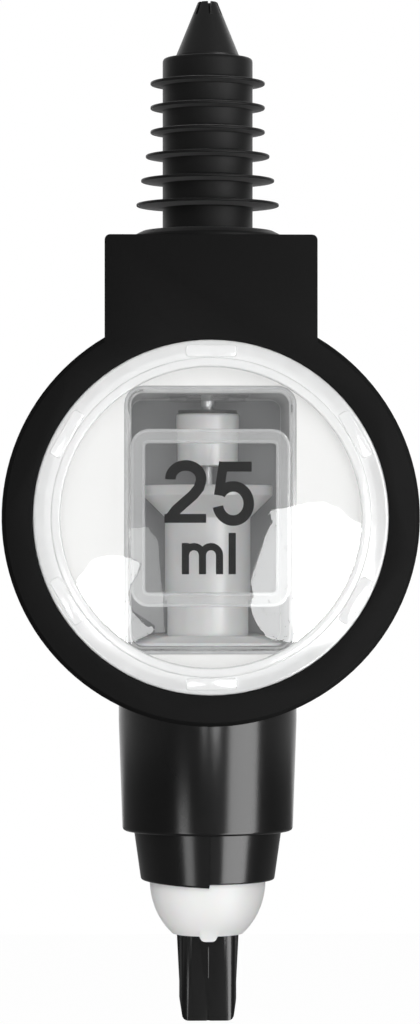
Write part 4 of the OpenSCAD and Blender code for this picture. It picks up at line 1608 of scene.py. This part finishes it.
@dataclass(frozen=True)
class Card:
    """A white studio card that shows on the domed lens as a pale patch.

    Attributes:
        name: Its name.
        radiance: How bright it looks.
        patch: The outline of its picture on the lens, from the lens's middle to the
            right and up.
    """

    name: str
    radiance: float
    patch: tuple[tuple[float, float], ...]

    def stand(self, camera: Vector, lens: Vector, dome_r: float) -> None:
        """Stands the card level with the camera, where the lens mirrors it.

        Args:
            camera: The camera's place in metres.
            lens: The middle of the lens's face in metres.
            dome_r: The radius of the lens's dome in metres.
        """
        # The dome shows the card this much smaller, seen from the card's distance
        scale = (2.0 + 2.0 * (lens.y - camera.y) / dome_r) * MM
        x, z = 2 * lens.x - camera.x, 2 * lens.z - camera.z
        mesh = bmesh.new()
        corners = ((x + scale * u, camera.y, z + scale * v) for u, v in self.patch)
        mesh.faces.new(mesh.verts.new(corner) for corner in corners)
        paint = bpy.data.materials.new(self.name)
        tree = blank_tree(paint)
        glow = add_node(tree, "ShaderNodeEmission", {"Strength": self.radiance})
        add_node(tree, "ShaderNodeOutputMaterial", {"Surface": glow.outputs[0]})
        card = add_object(self.name, mesh, paint)
        for ray in ("camera", "diffuse", "transmission", "volume_scatter", "shadow"):
            setattr(card, f"visible_{ray}", False)


LAMPS = (
    Lamp("key", -22.0, 30.0, 0.9, (0.6, 0.6), 0.85, in_gloss=False),
    Lamp("front", 0.0, 7.0, 1.2, (0.8, 0.8), 3.75, in_gloss=False),
    Lamp("fill", 24.0, 4.0, 1.0, (0.7, 0.7), 0.6, in_gloss=False),
    Lamp("rear_right", 142.0, 24.0, 1.0, (0.6, 0.6), 1.6),
    Lamp("rear_left", -140.0, 14.0, 1.0, (0.6, 0.6), 1.2),
    Lamp("right_bank", 46.0, -12.0, 0.38, (0.27, 0.62), 17.0, in_diffuse=False),
    Lamp("left_bank", -34.0, -32.2, 0.6, (0.14, 0.34), 11.0, in_diffuse=False),
)

CARDS = (
    Card("right_card", 32.0, (
        (9.5, 1.1), (13.0, 1.8), (16.1, 2.5), (18.7, 2.6), (20.9, 1.7), (23.1, -0.4),
        (26.0, -2.5), (27.0, -20.0), (9.4, -20.0), (7.3, -17.4), (6.4, -14.7),
        (7.0, -13.0), (6.4, -10.7), (7.7, -6.8), (9.0, -2.8), (10.1, -0.6),
    )),
    Card("left_card", 25.0, (
        (-20.0, -7.2), (-17.8, -6.3), (-15.2, -6.3), (-13.4, -6.6), (-11.7, -7.7),
        (-12.3, -9.4), (-13.4, -11.2), (-13.7, -13.4), (-13.0, -15.6), (-10.8, -17.9),
        (-9.4, -18.2), (-9.7, -19.1), (-12.5, -20.0), (-17.8, -19.6), (-20.0, -16.5),
        (-21.8, -13.0), (-21.4, -9.9),
    )),
    Card("left_inner_card", 10.0, (
        (-13.7, -2.0), (-10.6, -1.5), (-9.9, -2.6), (-8.8, -3.7), (-8.5, -8.5),
        (-7.9, -13.0), (-7.7, -19.1), (-9.3, -19.0), (-9.2, -17.9), (-12.9, -15.4),
        (-13.5, -13.4), (-13.2, -11.2), (-12.1, -9.4), (-11.5, -7.7), (-13.3, -6.4),
    )),
)


@dataclass
class Studio:
    """The floor, the lights, the world and the camera, in metres and degrees."""

    middle: Point = (0.0, 0.0, -0.06)
    lens_middle: Point = (0.0, -0.0244, -0.049)
    dome_r: float = 0.3848
    floor_z: float = -0.45
    floor_half: float = 3.0
    floor_colour: str = "#e9e9e9"
    floor_level: float = 1.29
    floor_share: float = 0.72
    world_level: float = 0.25
    camera_place: Point = (-0.0156, -0.6258, -0.0513)
    camera_turn: Point = (90.305, 0.0, -1.465)
    lens_mm: float = 128.67
    sensor_mm: float = 36.0
    nearest: float = 0.01

    def build(self) -> None:
        """Makes everything that isn't the part."""
        self._floor()
        self._world()
        self._camera()
        for lamp in LAMPS:
            lamp.light(Vector(self.middle))
        for card in CARDS:
            camera, lens = Vector(self.camera_place), Vector(self.lens_middle)
            card.stand(camera, lens, self.dome_r)

    def _floor(self) -> None:
        """Lays the pale floor, which keeps the part's shadow."""
        paint = bpy.data.materials.new("floor_paint")
        tree = blank_tree(paint)
        colour = {"Color": linear(self.floor_colour)}
        matte = add_node(tree, "ShaderNodeBsdfDiffuse", colour)
        white = add_node(tree, "ShaderNodeEmission", {"Strength": self.floor_level})
        seen = add_node(tree, "ShaderNodeLightPath").outputs["Is Camera Ray"]
        inputs = {0: seen, 1: self.floor_share}
        share = add_node(tree, "ShaderNodeMath", inputs, operation="MULTIPLY")
        inputs = {i: node.outputs[0] for i, node in enumerate((share, matte, white))}
        mix = add_node(tree, "ShaderNodeMixShader", inputs)
        add_node(tree, "ShaderNodeOutputMaterial", {"Surface": mix.outputs[0]})
        mesh = bmesh.new()
        bmesh.ops.create_grid(mesh, x_segments=1, y_segments=1, size=self.floor_half)
        floor = add_object("floor", mesh, paint)
        floor.location.z = self.floor_z

    def _world(self) -> None:
        """Makes the world white where it is seen and softer where it lights."""
        world = bpy.data.worlds.new("studio")
        bpy.context.scene.world = world
        tree = blank_tree(world)
        seen = add_node(tree, "ShaderNodeLightPath").outputs
        clear = seen["Is Camera Ray"]
        for ray in ("Is Transmission Ray", "Is Glossy Ray"):
            inputs = {0: clear, 1: seen[ray]}
            clear = add_node(tree, "ShaderNodeMath", inputs, operation="MAXIMUM")
            clear = clear.outputs[0]
        inputs = {"Value": clear, "To Min": self.world_level, "To Max": 1.0}
        level = add_node(tree, "ShaderNodeMapRange", inputs)
        inputs = {"Color": (1.0,) * 4, "Strength": level.outputs["Result"]}
        sky = add_node(tree, "ShaderNodeBackground", inputs)
        add_node(tree, "ShaderNodeOutputWorld", {"Surface": sky.outputs[0]})

    def _camera(self) -> None:
        """Sets the camera where the photograph was taken from."""
        data = bpy.data.cameras.new("camera")
        data.lens = self.lens_mm
        data.sensor_width = self.sensor_mm
        data.sensor_fit = "AUTO"
        data.clip_start = self.nearest
        data.dof.use_dof = False
        camera = bpy.data.objects.new("camera", data)
        camera.location = self.camera_place
        camera.rotation_euler = [math.radians(turn) for turn in self.camera_turn]
        bpy.context.scene.collection.objects.link(camera)
        bpy.context.scene.camera = camera


# --- The part -------------------------------------------------------------------------

CAD_FINISHES = {
    "air_tube": MILKY_PP,
    "inlet_o_ring": SEAL_RUBBER,
    "lens_gasket": GASKET_SILICONE,
    "fascia": FASCIA_WHITE,
    "inlet_seat": THIN_PP,
    "inlet_seal": SEAL_RUBBER,
    "outlet_o_ring": SEAL_RUBBER,
    "lock_nut": GLOSS_ABS_SOFT,
    "outlet_piston": GLOSS_ABS_SOFT,
    "piston_ring": SEAL_RUBBER,
    "spindle": SATIN_STEEL,
    "spring_seat": MILKY_PP,
}


@dataclass(frozen=True)
class ScrewPlan:
    """Where the screws' heads bear, inside the rear of the shells and of the boss."""

    at: Layout
    recess: float = 3.0
    circle_r: float = 29.3
    bearings: tuple[float, ...] = (45, 135, 225, 315)
    neck_x: float = 13.5
    neck_depth: float = 3.0
    neck_drop: float = 9.65
    boss_x: float = 10.0
    boss_z: float = 12.0
    boss_t: float = 7.4
    boss_length: float = 10.0

    def shells(self) -> tuple[Point, ...]:
        """Places the four screws round the drum and the two in the neck block.

        Returns:
            The places.
        """
        rear, r, z = self.at.drum_rear - self.recess, self.circle_r, self.at.drum_z
        angles = [math.radians(a) for a in self.bearings]
        drum = [(r * math.cos(a), rear, z + r * math.sin(a)) for a in angles]
        low = self.at.block_top - self.neck_drop
        neck = [(side * self.neck_x, rear - self.neck_depth, low) for side in (-1, 1)]
        return (*drum, *neck)

    def boss(self) -> tuple[Point, ...]:
        """Places the bracket boss's four screws.

        Returns:
            The places.
        """
        rear, z = self.at.drum_rear + self.boss_t - self.recess, self.at.drum_z
        signs = [(sx, sz) for sx in (-1, 1) for sz in (-1, 1)]
        return tuple((sx * self.boss_x, rear, z + sz * self.boss_z) for sx, sz in signs)


def main() -> None:
    """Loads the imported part, dresses it and sets up the studio."""
    logging.basicConfig(level=logging.INFO, format="%(name)s: %(message)s")
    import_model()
    bpy.context.scene.view_settings.view_transform = "Standard"
    Studio().build()
    layout = Layout()
    plan = ScrewPlan(layout)
    groups: list[SubAssembly] = [
        Cork(layout),
        Inlet(layout),
        Casing(layout),
        Lens(layout),
        MeasuringChamber(layout),
        InletValve(layout),
        Outlet(layout),
        BarrelUnit(layout),
        Plunger(layout),
        ReturnSpring(layout),
        Screws(layout, spots=plan.shells()),
        Screws(
            layout,
            name="bracket_boss_screws",
            node="bracket_screws",
            length=plan.boss_length,
            spots=plan.boss(),
        ),
        BracketBoss(layout),
        Marking(layout),
    ]
    for group in groups:
        group.build()
        names = ", ".join(p.name for p in group.pieces)
        log.info("%s: %s", type(group).__name__, names)
    for node, finish in CAD_FINISHES.items():
        for slot in bpy.data.objects[node].material_slots:
            slot.material = finish.material()
        log.info("dressed %s", node)


if __name__ == "__main__":
    main()
